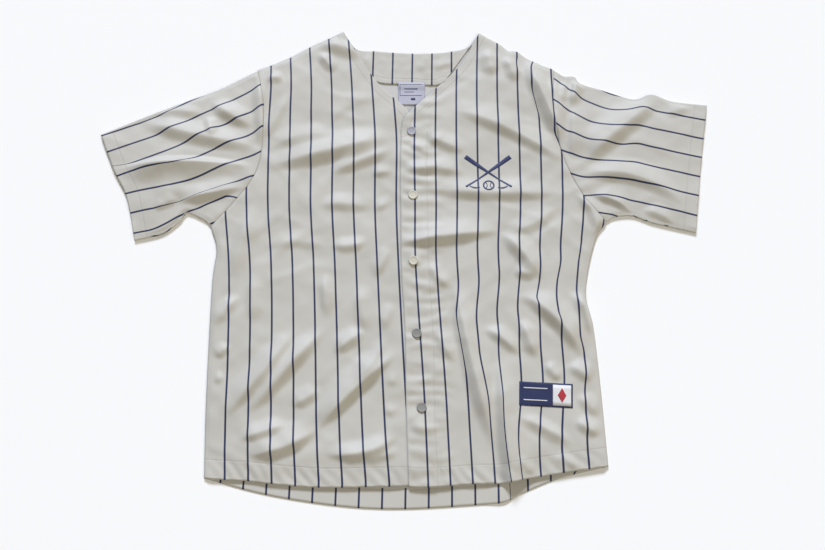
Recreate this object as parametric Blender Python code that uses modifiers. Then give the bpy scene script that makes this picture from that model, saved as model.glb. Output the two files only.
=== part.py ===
"""A short-sleeved, snap-fronted jersey shirt of striped cloth, laid flat with its front up.

The shirt rests on the surface z = 0. X runs across it towards the wearer's left, Y runs up to the
neck, and Z is up. The tables are in millimetres from a point in the middle of the chest; the last step
moves everything so that the origin is under the middle of the shirt's box. Right and left are the
wearer's. The back is a flat sheet, the two fronts lie on it with their folds, and each sleeve is a
flattened tube. Every outline runs through a few named spots, and every height comes from the stack of
layers and the table of folds.
"""

import math
from typing import NamedTuple

import bmesh
import bpy
import numpy as np
from mathutils import Vector

MM = 0.001

# Cloth, in millimetres.
WALL = 1.2
THIN_WALL = 1.0
SEAM_GAP = 0.4
LAYER_GAP = 0.3
TOP_OF_BACK = WALL
TOP_AT_SEAM = TOP_OF_BACK + LAYER_GAP + WALL + 0.1
TOP_LAID = TOP_OF_BACK + LAYER_GAP + THIN_WALL + 0.4 + WALL
PUFF = 2.0
SEAM_RUN = 14.0
PUFF_RUN = 60.0
SEAM_HOLD = 25.0

# The placket is the left front's edge turned under, so two layers thick.
PLACKET_WIDTH = 44.0
PLACKET_WALL = 2.2
PLACKET_RISE = PLACKET_WALL + 0.5
PLACKET_FALL = 40.0
UNDERLAP_FADE = (-22.0, -8.0)

# Grid cells along and across each sheet.
SIDE_CELLS = 28
ARMHOLE_CELLS = 18
FRONT_COLUMNS = 24
SLEEVE_STATIONS = 14
FOLDED_EDGE_STEPS = 4

# The middle of the shirt's box, from the point that the tables measure from.
BOX_MIDDLE = (1.9, 32.9)


class Spot(NamedTuple):
    """One named spot on an outline, in millimetres."""

    where: str
    x: float
    y: float


class Fold(NamedTuple):
    """One fold of the upper cloth: a ridge along a bowed path, in millimetres.

    The path runs from the first spot to the second and bows to its left. lit and shaded are the widths of
    the ridge to the left and to the right of the path. grows and dies are the stretches over which it
    rises at the start and sinks at the end.
    """

    name: str
    x_from: float
    y_from: float
    x_to: float
    y_to: float
    bow: float
    height: float
    lit: float
    shaded: float
    grows: float
    dies: float


class Finish(NamedTuple):
    """The colour, roughness and metallic value of one piece."""

    color: tuple
    roughness: float
    metallic: float


OUTLINES = {
    "right_side": (
        Spot("hem corner", -286, -314),
        Spot("hip", -291, -198),
        Spot("waist", -294, -25),
        Spot("below the arm", -291, 33),
        Spot("underarm", -302, 73),
    ),
    "right_armhole": (
        Spot("underarm", -302, 73),
        Spot("low curve", -268, 114),
        Spot("front curve", -237, 162),
        Spot("chest", -228, 222),
        Spot("top curve", -229, 287),
        Spot("shoulder point", -243, 349),
    ),
    "right_shoulder": (
        Spot("shoulder point", -243, 349),
        Spot("middle", -185, 377),
        Spot("neck point", -102, 423),
    ),
    "right_neck": (
        Spot("inner end", 33, 215),
        Spot("crossing", 5, 275),
        Spot("front of neck", -42, 323),
        Spot("side of neck", -90, 400),
        Spot("neck point", -102, 423),
    ),
    "underlap_low": (
        Spot("hem", 46, -324),
        Spot("waist", 40, -95),
        Spot("chest", 33, 85),
    ),
    "underlap_high": (
        Spot("chest", 33, 85),
        Spot("inner end", 33, 215),
    ),
    "right_hem": (
        Spot("hem corner", -286, -314),
        Spot("side of hem", -222, -318),
        Spot("middle", -119, -327),
        Spot("front edge", 46, -324),
    ),
    "left_side": (
        Spot("hem corner", 296, -297),
        Spot("hip", 293, -170),
        Spot("pulled in at the waist", 279, -32),
        Spot("below the arm", 297, 46),
        Spot("underarm", 317, 80),
    ),
    "left_armhole": (
        Spot("underarm", 317, 80),
        Spot("low curve", 288, 117),
        Spot("front curve", 262, 170),
        Spot("chest", 247, 230),
        Spot("top curve", 243, 290),
        Spot("shoulder point", 248, 350),
    ),
    "left_shoulder": (
        Spot("neck point", 125, 420),
        Spot("middle", 188, 380),
        Spot("shoulder point", 248, 350),
    ),
    "left_neck": (
        Spot("top snap", -5, 238),
        Spot("foot of the V", 4, 266),
        Spot("front of neck", 56, 320),
        Spot("side of neck", 91, 357),
        Spot("behind the neck", 113, 396),
        Spot("neck point", 125, 420),
    ),
    "placket_low": (
        Spot("hem", 8, -326),
        Spot("waist", 2, -95),
        Spot("chest", -5, 85),
    ),
    "placket_high": (
        Spot("chest", -5, 85),
        Spot("top snap", -5, 238),
    ),
    "left_hem": (
        Spot("front edge", 8, -326),
        Spot("beside the placket", 70, -324),
        Spot("middle", 156, -319),
        Spot("side of hem", 234, -306),
        Spot("hem corner", 296, -297),
    ),
    "back_hem": (
        Spot("right corner", -286, -314),
        Spot("right curve", -196, -337),
        Spot("right of middle", -90, -353),
        Spot("middle", 0, -357),
        Spot("left of middle", 110, -351),
        Spot("drawn up by a fold", 171, -336),
        Spot("left curve", 225, -314),
        Spot("left corner", 296, -297),
    ),
    "back_neck": (
        Spot("right neck point", -102, 423),
        Spot("right curve", -80, 392),
        Spot("right of middle", -45, 386),
        Spot("middle", 14, 383),
        Spot("left of middle", 66, 384),
        Spot("left curve", 106, 394),
        Spot("left neck point", 125, 420),
    ),
    "facing_free_edge": (
        Spot("under the right front", -52, 328),
        Spot("middle", 0, 326),
        Spot("under the left front", 66, 321),
    ),
    "right_sleeve_top": (
        Spot("shoulder point", -243, 349),
        Spot("upper arm", -306, 313),
        Spot("elbow side", -399, 275),
        Spot("cuff", -491, 232),
    ),
    "right_cuff": (
        Spot("underside", -419, 49),
        Spot("low", -432, 101),
        Spot("at the big fold", -463, 168),
        Spot("top", -491, 232),
    ),
    "right_sleeve_under": (
        Spot("underarm", -302, 73),
        Spot("pleat", -340, 91),
        Spot("below the pleat", -372, 66),
        Spot("cuff", -419, 49),
    ),
    "left_sleeve_top": (
        Spot("shoulder point", 248, 350),
        Spot("step below the shoulder", 283, 332),
        Spot("upper arm", 316, 316),
        Spot("dip", 377, 297),
        Spot("over the fold", 408, 304),
        Spot("beyond the fold", 440, 293),
        Spot("cuff", 495, 285),
    ),
    "left_cuff": (
        Spot("underside", 456, 62),
        Spot("low", 465, 120),
        Spot("middle", 482, 215),
        Spot("top", 495, 285),
    ),
    "left_sleeve_under": (
        Spot("underarm", 317, 80),
        Spot("pleat", 356, 90),
        Spot("middle", 392, 78),
        Spot("cuff", 456, 62),
    ),
}

SEAMED = ("right_side", "left_side", "right_shoulder", "left_shoulder")
ROUNDED = ("right_sleeve_top", "left_sleeve_top", "right_sleeve_under", "left_sleeve_under")
OPEN = ("right_hem", "left_hem", "right_neck", "left_neck", "right_cuff", "left_cuff")
HELD_UP = ("right_armhole", "left_armhole", "right_neck", "left_neck")

RIGHT_FOLDS = (
    Fold("sleeve, across the arm", -478, 174, -232, 182, 0, 11, 12, 30, 20, 60),
    Fold("sleeve, upper", -440, 264, -240, 214, 0, 4.5, 18, 16, 50, 40),
    Fold("sleeve, at the underarm", -335, 112, -250, 142, 0, 5, 14, 16, 25, 25),
    Fold("chest, from the armhole", -240, 158, -8, 228, -6, 7, 20, 18, 60, 20),
    Fold("chest, to the second snap", -130, 156, -8, 184, 0, 4, 14, 14, 50, 20),
    Fold("belly, up to the placket", -235, -282, -8, -142, -22, 7, 18, 16, 60, 30),
    Fold("hip, outer", -275, -240, -150, -72, 8, 4.5, 16, 16, 50, 60),
    Fold("hip, inner", -190, -205, -50, -72, 0, 4.5, 16, 16, 60, 60),
    Fold("above the hem", -120, -276, -8, -254, 0, 3.5, 12, 12, 40, 20),
)
LEFT_FOLDS = (
    Fold("sleeve, down from the top edge", 408, 312, 262, 190, -8, 11, 24, 20, 10, 50),
    Fold("sleeve, along the arm", 262, 170, 452, 100, 16, 5, 18, 16, 40, 40),
    Fold("shoulder, down to the armhole", 194, 378, 262, 196, -10, 7, 20, 16, 40, 50),
    Fold("chest, to the armhole", 74, 272, 262, 182, 18, 8, 20, 18, 40, 40),
    Fold("below the chest", 40, 132, 282, 130, 0, 4, 16, 16, 60, 50),
    Fold("beside the second snap", 30, 168, 110, 164, 0, 3.5, 14, 14, 25, 50),
    Fold("waist, across the placket", 10, 48, 170, 52, 4, 5.5, 18, 16, 20, 60),
    Fold("belly, long", 66, -10, 134, -300, -8, 7, 18, 16, 60, 60),
    Fold("hem, standing", 140, -180, 156, -380, 0, 12, 14, 13, 60, 1),
    Fold("hip, across", 178, -38, 272, -140, 14, 8, 18, 18, 40, 40),
    Fold("side, short", 256, -30, 290, -112, 0, 5, 16, 14, 30, 30),
)

SNAP_RADIUS = 7.5
SNAP_HEIGHT = 2.0
SNAP_SEAT = 0.4
SNAP_STEPS = 24
SNAPS = (
    Spot("snap_1", 12, 237),
    Spot("snap_2", 14, 124),
    Spot("snap_3", 15, 14),
    Spot("snap_4", 20, -101),
    Spot("snap_5", 27, -213),
)

LABEL_SIZE = (44.0, 41.0)
LABEL_MIDDLE = (12.0, 306.5)
LABEL_LAP = 5.0
PATCH_SIZE = (79.0, 36.0)
PATCH_MIDDLE = (210.0, -193.5)
PATCH_TURN = math.radians(-3.0)

CREAM = Finish((0.62, 0.60, 0.52), 0.62, 0.0)
LILAC = Finish((0.46, 0.46, 0.55), 0.55, 0.0)
NAVY = Finish((0.04, 0.05, 0.12), 0.55, 0.0)
PEARL = Finish((0.66, 0.65, 0.62), 0.28, 0.6)


def clear_scene():
    """Remove every object that the scene holds."""
    for obj in list(bpy.data.objects):
        bpy.data.objects.remove(obj, do_unlink=True)


def smooth_line(spots, per_span=24):
    """Return many points of an even curve through the spots.

    Args:
        spots: the Spots that the curve passes through.
        per_span: how many points lie between one spot and the next.

    Returns:
        An array of x and y in millimetres.
    """
    points = np.array([(spot.x, spot.y) for spot in spots], float)
    ends = np.vstack([2 * points[0] - points[1], points, 2 * points[-1] - points[-2]])
    share = np.linspace(0.0, 1.0, per_span, endpoint=False)[:, None]
    spans = []
    for before, start, end, after in zip(ends, ends[1:], ends[2:], ends[3:]):
        slope = end - before
        bend = 2 * before - 5 * start + 4 * end - after
        twist = 3 * start - before - 3 * end + after
        spans.append(0.5 * (2 * start + slope * share + bend * share**2 + twist * share**3))
    return np.vstack([*spans, points[-1:]])


def sampled(name, stops):
    """Return the points of one outline at the given shares of its length."""
    line = smooth_line(OUTLINES[name])
    steps = np.linalg.norm(np.diff(line, axis=0), axis=1)
    run = np.concatenate([[0.0], np.cumsum(steps)])
    wanted = np.asarray(stops) * run[-1]
    return np.column_stack([np.interp(wanted, run, line[:, axis]) for axis in (0, 1)])


def even(name, cells):
    """Return the points that divide one outline into equal cells."""
    return sampled(name, np.linspace(0.0, 1.0, cells + 1))


def chained(*runs):
    """Return one edge made of several outlines, each divided into its own number of cells."""
    edges = [even(name, cells) for name, cells in runs]
    return np.vstack([edges[0], *[edge[1:] for edge in edges[1:]]])


def filled(low, high, start, end, across):
    """Return a sheet of points between four edges.

    Args:
        low: the edge at the sheet's foot, from start to end.
        high: the edge at its head, from start to end.
        start: the edge that joins the first points of low and high.
        end: the edge that joins their last points.
        across: each column's share of the width.

    Returns:
        An array of x and y, with a row for each point of start and a column for each point of low.
    """
    up = np.linspace(0.0, 1.0, len(start))[:, None, None]
    side = np.asarray(across)[None, :, None]
    rows = (1 - up) * low[None] + up * high[None]
    columns = (1 - side) * start[:, None] + side * end[:, None]
    foot = (1 - side) * low[0] + side * low[-1]
    head = (1 - side) * high[0] + side * high[-1]
    return rows + columns - (1 - up) * foot - up * head


def climb(distance, run):
    """Return 0 at an edge, 1 from run onwards, and a smooth slope between."""
    share = np.clip(distance / run, 0.0, 1.0)
    return share * share * (3 - 2 * share)


def distance_to(points, names):
    """Return each point's distance to the nearest of the named outlines."""
    nearest = np.full(points.shape[:-1], np.inf)
    for name in names:
        line = smooth_line(OUTLINES[name], 6)
        for start, end in zip(line, line[1:]):
            along = end - start
            share = np.clip(((points - start) @ along) / (along @ along), 0.0, 1.0)
            gap = np.linalg.norm(points - start - share[..., None] * along, axis=-1)
            nearest = np.minimum(nearest, gap)
    return nearest


def folded(points, folds):
    """Return how far the folds lift each point."""
    lift = np.zeros(points.shape[:-1])
    for fold in folds:
        start = np.array([fold.x_from, fold.y_from])
        path = np.array([fold.x_to, fold.y_to]) - start
        length = np.linalg.norm(path)
        ahead = path / length
        aside = np.array([-ahead[1], ahead[0]])
        reach = (points - start) @ ahead
        share = np.clip(reach / length, 0.0, 1.0)
        off = (points - start) @ aside - 4 * fold.bow * share * (1 - share)
        width = np.where(off > 0, fold.lit, fold.shaded)
        ridge = 0.5 + 0.5 * np.cos(math.pi * np.clip(off / width, -1.0, 1.0))
        lift += fold.height * ridge * climb(reach, fold.grows) * climb(length - reach, fold.dies)
    return lift


def upper_layer(points, folds, on_body):
    """Return the height of the top of the upper cloth, before the placket's step.

    Args:
        points: an array of x and y.
        folds: the folds that cross this cloth.
        on_body: whether the cloth is a front, which comes down to the back at its seams.
    """
    closed = distance_to(points, SEAMED + ROUNDED)
    puff = PUFF * climb(np.minimum(closed, distance_to(points, OPEN)), PUFF_RUN)
    held = 1.0
    if on_body:
        held = np.maximum(
            climb(distance_to(points, SEAMED), SEAM_RUN),
            1 - climb(distance_to(points, HELD_UP), SEAM_HOLD),
        )
    level = TOP_AT_SEAM + (TOP_LAID - TOP_AT_SEAM) * held
    return level + puff + folded(points, folds) * climb(closed, SEAM_RUN)


def placket_edge(heights):
    """Return x of the placket's front edge at each y."""
    line = np.vstack([smooth_line(OUTLINES["placket_low"]), smooth_line(OUTLINES["placket_high"])])
    return np.interp(heights, line[:, 1], line[:, 0])


def right_front_top(points):
    """Return the height of the right front's top, with the part under the placket left flat."""
    beside = points[..., 0] - placket_edge(points[..., 1])
    fade_from, fade_to = UNDERLAP_FADE
    shown = 1 - climb(beside - fade_from, fade_to - fade_from)
    flat = upper_layer(points, (), True)
    return flat + (upper_layer(points, RIGHT_FOLDS, True) - flat) * shown


def left_front_top(points):
    """Return the height of the left front's top, with the step up onto the right front."""
    beside = points[..., 0] - placket_edge(points[..., 1])
    foot_of_v = OUTLINES["left_neck"][1].y + 14
    step = 1 - climb(beside - PLACKET_WIDTH, PLACKET_FALL)
    step = step * (1 - climb(points[..., 1] - foot_of_v, PLACKET_FALL))
    return upper_layer(points, LEFT_FOLDS, True) + PLACKET_RISE * step


def finished(mesh_name, finish):
    """Return a new material with this finish."""
    material = bpy.data.materials.new(mesh_name)
    material.use_nodes = True
    shader = material.node_tree.nodes["Principled BSDF"]
    shader.inputs["Base Color"].default_value = (*finish.color, 1.0)
    shader.inputs["Roughness"].default_value = finish.roughness
    shader.inputs["Metallic"].default_value = finish.metallic
    return material


def add_object(name, mesh, finish, collection):
    """Put a mesh in the collection as one named, finished object."""
    obj = bpy.data.objects.new(name, mesh)
    mesh.materials.append(finished(name, finish))
    collection.objects.link(obj)
    return obj


def grid_mesh(name, positions, round_and_round=False):
    """Return a mesh of square cells whose corners are at the given positions.

    Args:
        name: the mesh's name.
        positions: an array of rows and columns of x, y and z in millimetres.
        round_and_round: whether the last column closes onto the first.
    """
    rows, columns = positions.shape[0] - 1, positions.shape[1] - 1
    shape = bmesh.new()
    bmesh.ops.create_grid(shape, x_segments=columns, y_segments=rows, size=0.5)
    middle = np.array([*BOX_MIDDLE, 0.0])
    for vertex in shape.verts:
        row = round((vertex.co.y + 0.5) * rows)
        column = round((vertex.co.x + 0.5) * columns)
        vertex.co = Vector((positions[row, column] - middle) * MM)
    if round_and_round:
        bmesh.ops.remove_doubles(shape, verts=shape.verts, dist=1e-7)
    for face in shape.faces:
        face.smooth = True
    mesh = bpy.data.meshes.new(name)
    shape.to_mesh(mesh)
    shape.free()
    return mesh


def add_wall(obj, wall, thick_vertices=(), thick_wall=None):
    """Give a sheet its thickness on its under or inner side.

    Args:
        obj: the sheet.
        wall: the thickness in millimetres.
        thick_vertices: the vertices where the cloth lies double.
        thick_wall: the thickness there.
    """
    solidify = obj.modifiers.new("wall", "SOLIDIFY")
    solidify.offset = -1.0
    solidify.use_even_offset = True
    solidify.use_quality_normals = True
    solidify.thickness = (thick_wall or wall) * MM
    if thick_wall:
        group = obj.vertex_groups.new(name="double")
        group.add(list(thick_vertices), 1.0, "REPLACE")
        solidify.vertex_group = group.name
        solidify.thickness_vertex_group = wall / thick_wall


def add_back(collection):
    """Add the back, a flat sheet on the surface."""
    outline = np.vstack(
        [
            even("back_hem", 40)[:-1],
            even("left_side", SIDE_CELLS)[:-1],
            even("left_armhole", ARMHOLE_CELLS)[:-1],
            even("left_shoulder", 8)[::-1][:-1],
            even("back_neck", 24)[::-1][:-1],
            even("right_shoulder", 8)[::-1][:-1],
            even("right_armhole", ARMHOLE_CELLS)[::-1][:-1],
            even("right_side", SIDE_CELLS)[::-1][:-1],
        ]
    )
    shape = bmesh.new()
    ring = [
        shape.verts.new(((x - BOX_MIDDLE[0]) * MM, (y - BOX_MIDDLE[1]) * MM, TOP_OF_BACK * MM))
        for x, y in outline
    ]
    shape.faces.new(ring)
    mesh = bpy.data.meshes.new("back_panel")
    shape.to_mesh(mesh)
    shape.free()
    add_wall(add_object("back_panel", mesh, CREAM, collection), WALL)


def add_right_front(collection):
    """Add the right front, from the side seam to its hidden edge under the placket."""
    across = np.linspace(0.0, 1.0, FRONT_COLUMNS + 1)
    neck_cells = ARMHOLE_CELLS - 7
    plan = filled(
        sampled("right_hem", across),
        sampled("right_shoulder", across),
        chained(("right_side", SIDE_CELLS), ("right_armhole", ARMHOLE_CELLS)),
        chained(("underlap_low", SIDE_CELLS), ("underlap_high", 7), ("right_neck", neck_cells)),
        across,
    )
    positions = np.dstack([plan, right_front_top(plan)])
    obj = add_object("front_right", grid_mesh("front_right", positions), CREAM, collection)
    add_wall(obj, WALL)


def add_left_front(collection):
    """Add the left front, with its edge turned under as the placket."""
    hem = smooth_line(OUTLINES["left_hem"])
    hem_length = np.linalg.norm(np.diff(hem, axis=0), axis=1).sum()
    turned = PLACKET_WIDTH / hem_length
    placket_columns = 3
    across = np.concatenate(
        [
            np.linspace(0.0, turned, placket_columns + 1),
            np.linspace(turned, 1.0, FRONT_COLUMNS - placket_columns + 1)[1:],
        ]
    )
    neck_cells = ARMHOLE_CELLS - 8
    plan = filled(
        sampled("left_hem", across),
        sampled("left_shoulder", across),
        chained(("placket_low", SIDE_CELLS), ("placket_high", 8), ("left_neck", neck_cells)),
        chained(("left_side", SIDE_CELLS), ("left_armhole", ARMHOLE_CELLS)),
        across,
    )
    positions = np.dstack([plan, left_front_top(plan)])
    obj = add_object("front_left", grid_mesh("front_left", positions), CREAM, collection)
    top_of_placket = (OUTLINES["placket_high"][-1].y - BOX_MIDDLE[1]) * MM
    edge_line = placket_edge(np.array([v.co.y / MM + BOX_MIDDLE[1] for v in obj.data.vertices]))
    double = []
    for vertex, edge in zip(obj.data.vertices, edge_line):
        beside = vertex.co.x / MM + BOX_MIDDLE[0] - edge
        if beside < PLACKET_WIDTH + 1 and vertex.co.y < top_of_placket:
            double.append(vertex.index)
    add_wall(obj, WALL, double, PLACKET_WALL)


def add_sleeve(side, folds, collection):
    """Add one sleeve, a flattened tube from the armhole to the open cuff.

    Each ring runs along the upper cloth from the underside to the top edge, round that folded edge, back
    along the lower cloth on the surface, and round the other folded edge.
    """
    across = np.linspace(0.0, 1.0, ARMHOLE_CELLS + 1)
    plan = filled(
        even(f"{side}_armhole", ARMHOLE_CELLS),
        even(f"{side}_cuff", ARMHOLE_CELLS),
        even(f"{side}_sleeve_under", SLEEVE_STATIONS),
        even(f"{side}_sleeve_top", SLEEVE_STATIONS),
        across,
    )
    clearance = np.linspace(SEAM_GAP, 0.0, SLEEVE_STATIONS + 1)[:, None, None]
    outwards = plan[1:2] - plan[:1]
    plan = plan + clearance * outwards / np.linalg.norm(outwards, axis=-1, keepdims=True)
    top = upper_layer(plan, folds, False)
    rings = []
    for station, heights in zip(plan, top):
        under_out = station[0] - station[1]
        under_out = under_out / np.linalg.norm(under_out)
        top_out = station[-1] - station[-2]
        top_out = top_out / np.linalg.norm(top_out)
        inset = station.copy()
        inset[0] -= under_out * heights[0] / 2
        inset[-1] -= top_out * heights[-1] / 2
        upper = np.column_stack([inset, heights])
        lower = np.column_stack([inset, np.zeros(len(inset))])[::-1]
        ring = [upper]
        ring.append(folded_edge(inset[-1], top_out, heights[-1], downwards=True))
        ring.append(lower)
        ring.append(folded_edge(inset[0], under_out, heights[0], downwards=False))
        ring.append(upper[:1])
        rings.append(np.vstack(ring))
    positions = np.array(rings)
    if side == "left":
        positions = positions[:, ::-1]
    name = f"sleeve_{side}"
    mesh = grid_mesh(name, positions, round_and_round=True)
    add_wall(add_object(name, mesh, CREAM, collection), WALL)


def folded_edge(corner, outwards, height, downwards):
    """Return the points of the half circle that joins the upper cloth to the lower at a folded edge."""
    points = []
    for step in range(1, FOLDED_EDGE_STEPS):
        turn = math.pi * step / FOLDED_EDGE_STEPS
        rise = math.cos(turn) if downwards else -math.cos(turn)
        x, y = corner + outwards * (height / 2) * math.sin(turn)
        points.append((x, y, height / 2 * (1 + rise)))
    return points


def add_facing(collection):
    """Add the striped facing inside the back neck, flat on the back."""
    across = np.linspace(0.0, 1.0, 13)
    neck = sampled("back_neck", 0.06 + 0.88 * across)
    neck[:, 1] -= 1.0
    free = sampled("facing_free_edge", across)
    rise = np.linspace(0.0, 1.0, 5)[:, None]
    plan = filled(
        free,
        neck,
        free[0] * (1 - rise) + neck[0] * rise,
        free[-1] * (1 - rise) + neck[-1] * rise,
        across,
    )
    top = TOP_OF_BACK + LAYER_GAP + THIN_WALL
    positions = np.dstack([plan, np.full(plan.shape[:2], top)])
    mesh = grid_mesh("back_neck_facing", positions)
    add_wall(add_object("back_neck_facing", mesh, CREAM, collection), THIN_WALL)


def rectangle(size, middle, turn, rows, columns):
    """Return the points of a turned rectangle, from its lower corner up."""
    width, height = size
    side, up = np.meshgrid(
        np.linspace(-width / 2, width / 2, columns + 1),
        np.linspace(-height / 2, height / 2, rows + 1),
    )
    x = middle[0] + side * math.cos(turn) - up * math.sin(turn)
    y = middle[1] + side * math.sin(turn) + up * math.cos(turn)
    return np.dstack([x, y])


def add_label(collection):
    """Add the neck label: its head laps the facing's free edge, the rest lies on the back."""
    plan = rectangle(LABEL_SIZE, LABEL_MIDDLE, 0.0, 6, 4)
    lap_from = LABEL_MIDDLE[1] + LABEL_SIZE[1] / 2 - LABEL_LAP
    low = TOP_OF_BACK + LAYER_GAP + THIN_WALL
    step = LAYER_GAP + THIN_WALL
    top = low + step * climb(plan[..., 1] - lap_from + 14, 14)
    mesh = grid_mesh("label", np.dstack([plan, top]))
    add_wall(add_object("label", mesh, LILAC, collection), THIN_WALL)


def add_patch(collection):
    """Add the hem patch, on the left front's own surface and just clear of it."""
    plan = rectangle(PATCH_SIZE, PATCH_MIDDLE, PATCH_TURN, 4, 8)
    top = left_front_top(plan) + SNAP_SEAT + THIN_WALL
    mesh = grid_mesh("hem_patch", np.dstack([plan, top]))
    add_wall(add_object("hem_patch", mesh, NAVY, collection), THIN_WALL)


def add_snap(spot, collection):
    """Add one flat snap cap, turned about its own axis and seated square on the placket."""
    profile = (
        (0.0, SNAP_HEIGHT),
        (SNAP_RADIUS - 1.8, SNAP_HEIGHT - 0.1),
        (SNAP_RADIUS - 0.6, 1.6),
        (SNAP_RADIUS, 1.0),
        (SNAP_RADIUS, 0.5),
        (SNAP_RADIUS - 0.5, 0.0),
        (0.0, 0.0),
    )
    mesh = bpy.data.meshes.new(spot.where)
    points = [(radius * MM, 0.0, height * MM) for radius, height in profile]
    mesh.from_pydata(points, [(i, i + 1) for i in range(len(points) - 1)], [])
    obj = add_object(spot.where, mesh, PEARL, collection)
    screw = obj.modifiers.new("turned", "SCREW")
    screw.steps = SNAP_STEPS
    screw.render_steps = SNAP_STEPS
    screw.use_merge_vertices = True
    screw.merge_threshold = 0.00005
    screw.use_smooth_shade = True
    turns = np.linspace(0.0, 2 * math.pi, 12, endpoint=False)
    rim = np.array([(math.cos(turn), math.sin(turn)) for turn in turns]) * SNAP_RADIUS
    middle = np.array([spot.x, spot.y])
    heights = left_front_top(middle + rim)
    lean_x, lean_y = 2 * (heights[:, None] * rim).mean(axis=0) / SNAP_RADIUS**2
    inner = left_front_top(middle + 0.5 * rim)
    plane = heights.mean()
    spread = max((heights - rim @ (lean_x, lean_y)).max(), (inner - 0.5 * rim @ (lean_x, lean_y)).max())
    seat = max(plane, spread) + SNAP_SEAT
    obj.location = ((spot.x - BOX_MIDDLE[0]) * MM, (spot.y - BOX_MIDDLE[1]) * MM, seat * MM)
    normal = Vector((-lean_x, -lean_y, 1.0)).normalized()
    obj.rotation_mode = "QUATERNION"
    obj.rotation_quaternion = Vector((0.0, 0.0, 1.0)).rotation_difference(normal)


def main():
    """Build the shirt."""
    clear_scene()
    collection = bpy.data.collections.new("short_sleeve_jersey")
    bpy.context.scene.collection.children.link(collection)
    add_back(collection)
    add_right_front(collection)
    add_left_front(collection)
    add_sleeve("right", RIGHT_FOLDS, collection)
    add_sleeve("left", LEFT_FOLDS, collection)
    add_facing(collection)
    add_label(collection)
    add_patch(collection)
    for spot in SNAPS:
        add_snap(spot, collection)


main()
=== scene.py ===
"""The looks of the short-sleeved jersey shirt that lies flat with its front up.

Every sheet of cloth is a fine thin shell on its CAD solid's form. Its outline runs through named spots, its
height comes from the stack of layers and a table of folds, and its stripes follow a cloth coordinate that
the same folds take up. Tables are in millimetres from a point in the middle of the chest; BOX_MIDDLE moves
them to the frame. Right and left are the wearer's.
"""

import logging
import math
from collections.abc import Callable, Sequence
from dataclasses import dataclass
from enum import Enum

import bmesh
import bpy
import numpy as np
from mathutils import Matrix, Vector, noise

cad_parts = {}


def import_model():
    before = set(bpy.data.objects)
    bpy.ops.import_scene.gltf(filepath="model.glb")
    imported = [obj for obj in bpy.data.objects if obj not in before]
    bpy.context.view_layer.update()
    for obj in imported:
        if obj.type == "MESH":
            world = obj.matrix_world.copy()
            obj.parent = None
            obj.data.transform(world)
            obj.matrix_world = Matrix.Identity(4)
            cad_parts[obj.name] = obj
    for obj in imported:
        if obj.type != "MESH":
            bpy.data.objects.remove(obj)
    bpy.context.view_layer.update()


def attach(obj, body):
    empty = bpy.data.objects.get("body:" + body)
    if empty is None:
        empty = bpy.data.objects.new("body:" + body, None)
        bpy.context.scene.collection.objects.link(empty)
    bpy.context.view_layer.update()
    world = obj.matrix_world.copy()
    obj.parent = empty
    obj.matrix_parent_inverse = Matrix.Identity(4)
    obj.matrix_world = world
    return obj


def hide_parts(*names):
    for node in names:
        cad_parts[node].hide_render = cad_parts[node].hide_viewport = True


Array = np.ndarray
Way = tuple[float, float]
Color = tuple[float, float, float]
Socket = bpy.types.NodeSocket

MM = 0.001
BOX_MIDDLE = np.array([1.9, 32.9])

# Layers, in millimetres.
WALL = 0.7
BACK_TOP = 0.9
TOP_AT_SEAM = 2.6
TOP_LAID = 3.9
PUFF = 1.8
SEAM_RUN = 8.0
PUFF_RUN = 55.0
SEAM_HOLD = 25.0
SEAM_DIP = 0.7
SEAM_DIP_RUN = 5.0

# How far a fold's foot reaches beyond its steep part on each side, and its rise against the table's height.
LIT_FOOT = 2.0
SHADED_FOOT = 1.4
FOLD_RISE = 1.4
# The least share of its length over which a fold rises from flat cloth, and sinks back into it.
TAPER = 0.36

# How far from a sleeve's folded edge its cloth is drawn in to make room for the round of the edge.
EDGE_DRAW = 14.0

PLACKET_WIDTH = 44.0
PLACKET_RISE = 1.9
PLACKET_PUCKER = 0.55
HEM_RIPPLE = 0.9
PLACKET_FALL = 34.0
UNDERLAP_FADE = (-34.0, -5.0)

PITCH = 33.0
STRIPE_WIDTH = 2.9
NECK_TURN = 12.5
FRONT_HEM = 27.0
BACK_HEM = 27.0
CUFF_HEM = 19.0
STITCH_LENGTH = 3.0

# Sizes that the finishes read, in metres, and the clouding's scale.
STRIPE_BLUR = 0.0004
GROOVE_WIDTH = 0.0016
KNIT_LOOP = 0.0016
CLOUD_SCALE = 14.0

log = logging.getLogger("jersey")


class Side(Enum):
    """The wearer's side that a piece is on."""

    RIGHT = "right"
    LEFT = "left"


@dataclass(frozen=True)
class Spot:
    """One named spot on an outline, in millimetres."""

    where: str
    x: float
    y: float


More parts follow.
